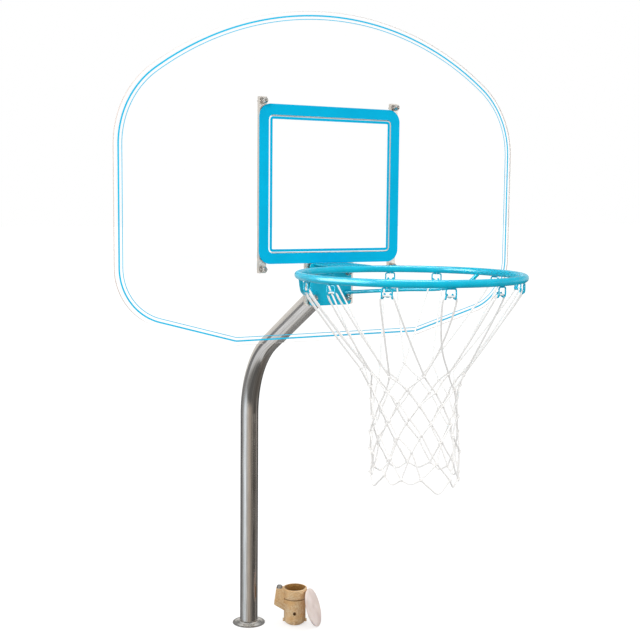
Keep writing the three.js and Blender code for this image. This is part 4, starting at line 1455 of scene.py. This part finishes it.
@dataclass
class Studio:
    """The floor, the lamps, the world and the camera, in metres."""

    camera_place: Point = (-1.34621, -2.76095, 1.17081)
    yaw: float = math.radians(29.531)
    pitch: float = math.radians(6.057)
    roll: float = math.radians(0.556)
    lens: float = 64.237
    sensor: float = 36.0
    floor_half: float = 40.0
    # What the floor adds for the camera, so that it looks white.
    floor_glow: float = 0.58
    middle: Point = (0, -0.5, 0.9)
    coated_middle: Point = (0, -0.7, 1.0)

    # What the rest of the object mirrors, from straight below to straight above.
    heights: ClassVar[Stops] = (
        (0.0, 0.12), (0.25, 0.16), (0.40, 0.30), (0.455, 1.1, "#fffdf8"), (0.56, 1.1, "#fffdf8"),
        (0.63, 0.3), (0.76, 0.24), (0.86, 0.9), (1.0, 1.3),
    )
    # What is mirrored level with the eye, round the compass: dark where the camera stands, pale
    # to its right. Then where that counts, from straight below to straight above.
    room: ClassVar[Stops] = (
        (0.0, 0.6), (0.07, 0.3), (0.11, 0.1), (0.25, 0.1), (0.30, 1.15, "#fffaf2"),
        (0.38, 1.15, "#fffaf2"), (0.5, 0.95, "#fffaf2"), (1.0, 0.8),
    )
    level: ClassVar[Stops] = ((0.41, 0.0), (0.455, 1.0), (0.58, 1.0), (0.63, 0.0))
    # What the post mirrors: a softbox on the left and flags on the right.
    flags: ClassVar[Stops] = (
        (0.0, 1.55, "#eaf4ff"), (0.03, 1.45, "#eaf4ff"), (0.091, 0.78), (0.178, 0.66, "#ffeedd"),
        (0.24, 0.34, "#fff2e4"), (0.33, 0.09, "#fff6ee"), (0.42, 0.10, "#fff6ee"),
        (0.46, 0.36, "#fff6f2"), (0.54, 0.07), (0.678, 0.03), (0.76, 0.07, "#f0f4ff"),
        (0.84, 0.24, "#f0f4ff"), (0.908, 0.36), (0.965, 0.9, "#eaf4ff"), (1.0, 1.55, "#eaf4ff"),
    )
    low: ClassVar[Stops] = (
        (0.0, 0.7), (0.25, 0.7), (0.32, 0.74), (0.37, 1.0), (0.415, 1.0), (0.455, 0.0),
    )
    # What the sloping arm mirrors of the ground: pale on the left and grey on the right.
    ground: ClassVar[Stops] = (
        (0.0, 0.26), (0.12, 0.16), (0.4, 0.14, "#fff6ee"), (0.55, 0.2, "#fff6ee"), (0.66, 0.25),
        (0.80, 0.75), (0.87, 1.0, "#f6f9ff"), (0.92, 0.95, "#f6f9ff"), (0.955, 0.55), (1.0, 0.26),
    )
    deep: ClassVar[Stops] = ((0.0, 1.0), (0.27, 1.0), (0.315, 0.0))

    def camera(self) -> None:
        """Puts the camera where the photograph was taken from."""
        ahead = Vector((
            math.sin(self.yaw) * math.cos(self.pitch),
            math.cos(self.yaw) * math.cos(self.pitch),
            -math.sin(self.pitch),
        ))
        level = Vector((math.cos(self.yaw), -math.sin(self.yaw), 0))
        up = level.cross(ahead)
        right = math.cos(self.roll) * level + math.sin(self.roll) * up
        top = -math.sin(self.roll) * level + math.cos(self.roll) * up
        turn = Matrix((right, top, -ahead)).transposed().to_4x4()
        made = put("camera", bpy.data.cameras.new("camera"))
        made.data.sensor_width = self.sensor
        made.data.lens = self.lens
        made.data.clip_end = 100.0
        made.matrix_world = Matrix.Translation(self.camera_place) @ turn
        bpy.context.scene.camera = made

    def seen(self, tree: NodeTree) -> NodeSocket:
        """Tells camera rays, and those that pass through the clear sheet, from the rest.

        Args:
            tree: the material's or world's tree.

        Returns:
            1 for them and 0 for the rest.
        """
        rays = add_node(tree, "LightPath").outputs
        straight = {0: rays["Is Camera Ray"], 1: rays["Is Transmission Ray"]}
        return add_node(tree, "Math", straight, operation="MAXIMUM").outputs[0]

    def floor(self) -> None:
        """Lays the pale floor: it looks white, keeps the shadow, and lights little from below."""
        bm = bmesh.new()
        bmesh.ops.create_grid(bm, x_segments=1, y_segments=1, size=self.floor_half / MM)
        piece = mesh_object("floor", bm)
        material = bpy.data.materials.new("pale_floor")
        tree = empty_tree(material)
        pale = add_node(tree, "BsdfDiffuse", {"Color": (0.5, 0.5, 0.5, 1)})
        lit = {0: self.seen(tree), 1: self.floor_glow}
        glow = add_node(tree, "Math", lit, operation="MULTIPLY").outputs[0]
        white = add_node(tree, "Emission", {"Color": (1, 1, 1, 1), "Strength": glow})
        both = add_node(tree, "AddShader", {0: pale.outputs[0], 1: white.outputs[0]})
        add_node(tree, "OutputMaterial", {"Surface": both.outputs[0]})
        piece.data.materials.append(material)
        piece.visible_glossy = False

    def lamp(
        self, name: str, place: Point, aim: Point, size: float, watts: float,
        gloss_only: bool = False,
    ) -> Object:
        """Hangs a soft square lamp.

        Args:
            name: the lamp's name.
            place: where it hangs.
            aim: where it points.
            size: its side.
            watts: its power.
            gloss_only: whether only gloss shows it. Otherwise gloss alone doesn't.

        Returns:
            The lamp.
        """
        made = put(name, bpy.data.lights.new(name, "AREA"))
        made.data.size = size
        made.data.energy = watts
        made.location = place
        made.rotation_euler = (Vector(aim) - Vector(place)).to_track_quat("-Z", "Y").to_euler()
        made.visible_glossy = gloss_only
        made.visible_diffuse = not gloss_only
        return made

    def softboxes(self) -> None:
        """Hangs two softboxes, which only draw pale lights along the coated steel."""
        coated = bpy.data.collections.new("coated")
        for piece in bpy.context.scene.objects:
            if piece.type == "MESH" and COATING.name in piece.data.materials:
                coated.objects.link(piece)
        for name, place, size, watts in (
            ("left_softbox", (-2.9, 0.0, 2.0), 3.2, 900.0),
            ("top_softbox", (0.0, -0.7, 4.2), 2.0, 250.0),
        ):
            lamp = self.lamp(name, place, self.coated_middle, size, watts, gloss_only=True)
            lamp.light_linking.receiver_collection = coated

    def world(self) -> None:
        """Lights the object evenly, and gives gloss a white studio with dark flags low down."""
        world = bpy.context.scene.world = bpy.data.worlds.new("studio")
        tree = empty_tree(world)
        way = add_node(tree, "TexCoord").outputs["Generated"]
        x, y, z = add_node(tree, "SeparateXYZ", {0: way}).outputs
        turn = add_node(tree, "Math", {0: y, 1: x}, operation="ARCTAN2").outputs[0]
        compass = {"Value": turn, "From Min": -math.pi, "From Max": math.pi}
        share = add_node(tree, "MapRange", compass).outputs["Result"]
        upward = {"Value": z, "From Min": -1.0, "From Max": 1.0}
        rise = add_node(tree, "MapRange", upward).outputs["Result"]
        mirrored = ramp(tree, rise, self.heights)
        for weight, layer in (
            (self.level, self.room), (self.low, self.flags), (self.deep, self.ground)
        ):
            mixed = {
                "Factor": ramp(tree, rise, weight), "A": mirrored, "B": ramp(tree, share, layer)
            }
            mirrored = add_node(tree, "Mix", mixed, data_type="RGBA").outputs["Result"]
        white = {"Color": (1, 1, 1, 1), "Strength": 1.0}
        even = add_node(tree, "Background", white).outputs[0]
        gloss = add_node(tree, "Background", {"Color": mirrored, "Strength": 1.0}).outputs[0]
        glossy = add_node(tree, "LightPath").outputs["Is Glossy Ray"]
        shown = add_node(tree, "MixShader", {0: glossy, 1: even, 2: gloss}).outputs[0]
        final = add_node(tree, "MixShader", {0: self.seen(tree), 1: shown, 2: even}).outputs[0]
        add_node(tree, "OutputWorld", {"Surface": final})

    def build(self) -> None:
        """Sets the stage."""
        self.camera()
        self.floor()
        self.world()
        self.lamp("key", (-2.6, -2.6, 3.2), self.middle, 1.2, 50.0)
        self.lamp("fill", (3.0, -2.2, 1.8), self.middle, 2.0, 14.0)
        bpy.context.scene.view_settings.view_transform = "Standard"


def main() -> None:
    """Builds the stage and every piece, in order."""
    logging.basicConfig(level=logging.INFO, format="%(name)s: %(message)s")
    studio = Studio()
    studio.build()
    rim = Rim()
    for part in (
        Post(), RearFrame(), Board(), rim, Net(rim), Fasteners(), Escutcheon(), DeckAnchor()
    ):
        part.build()
    studio.softboxes()


if __name__ == "__main__":
    main()
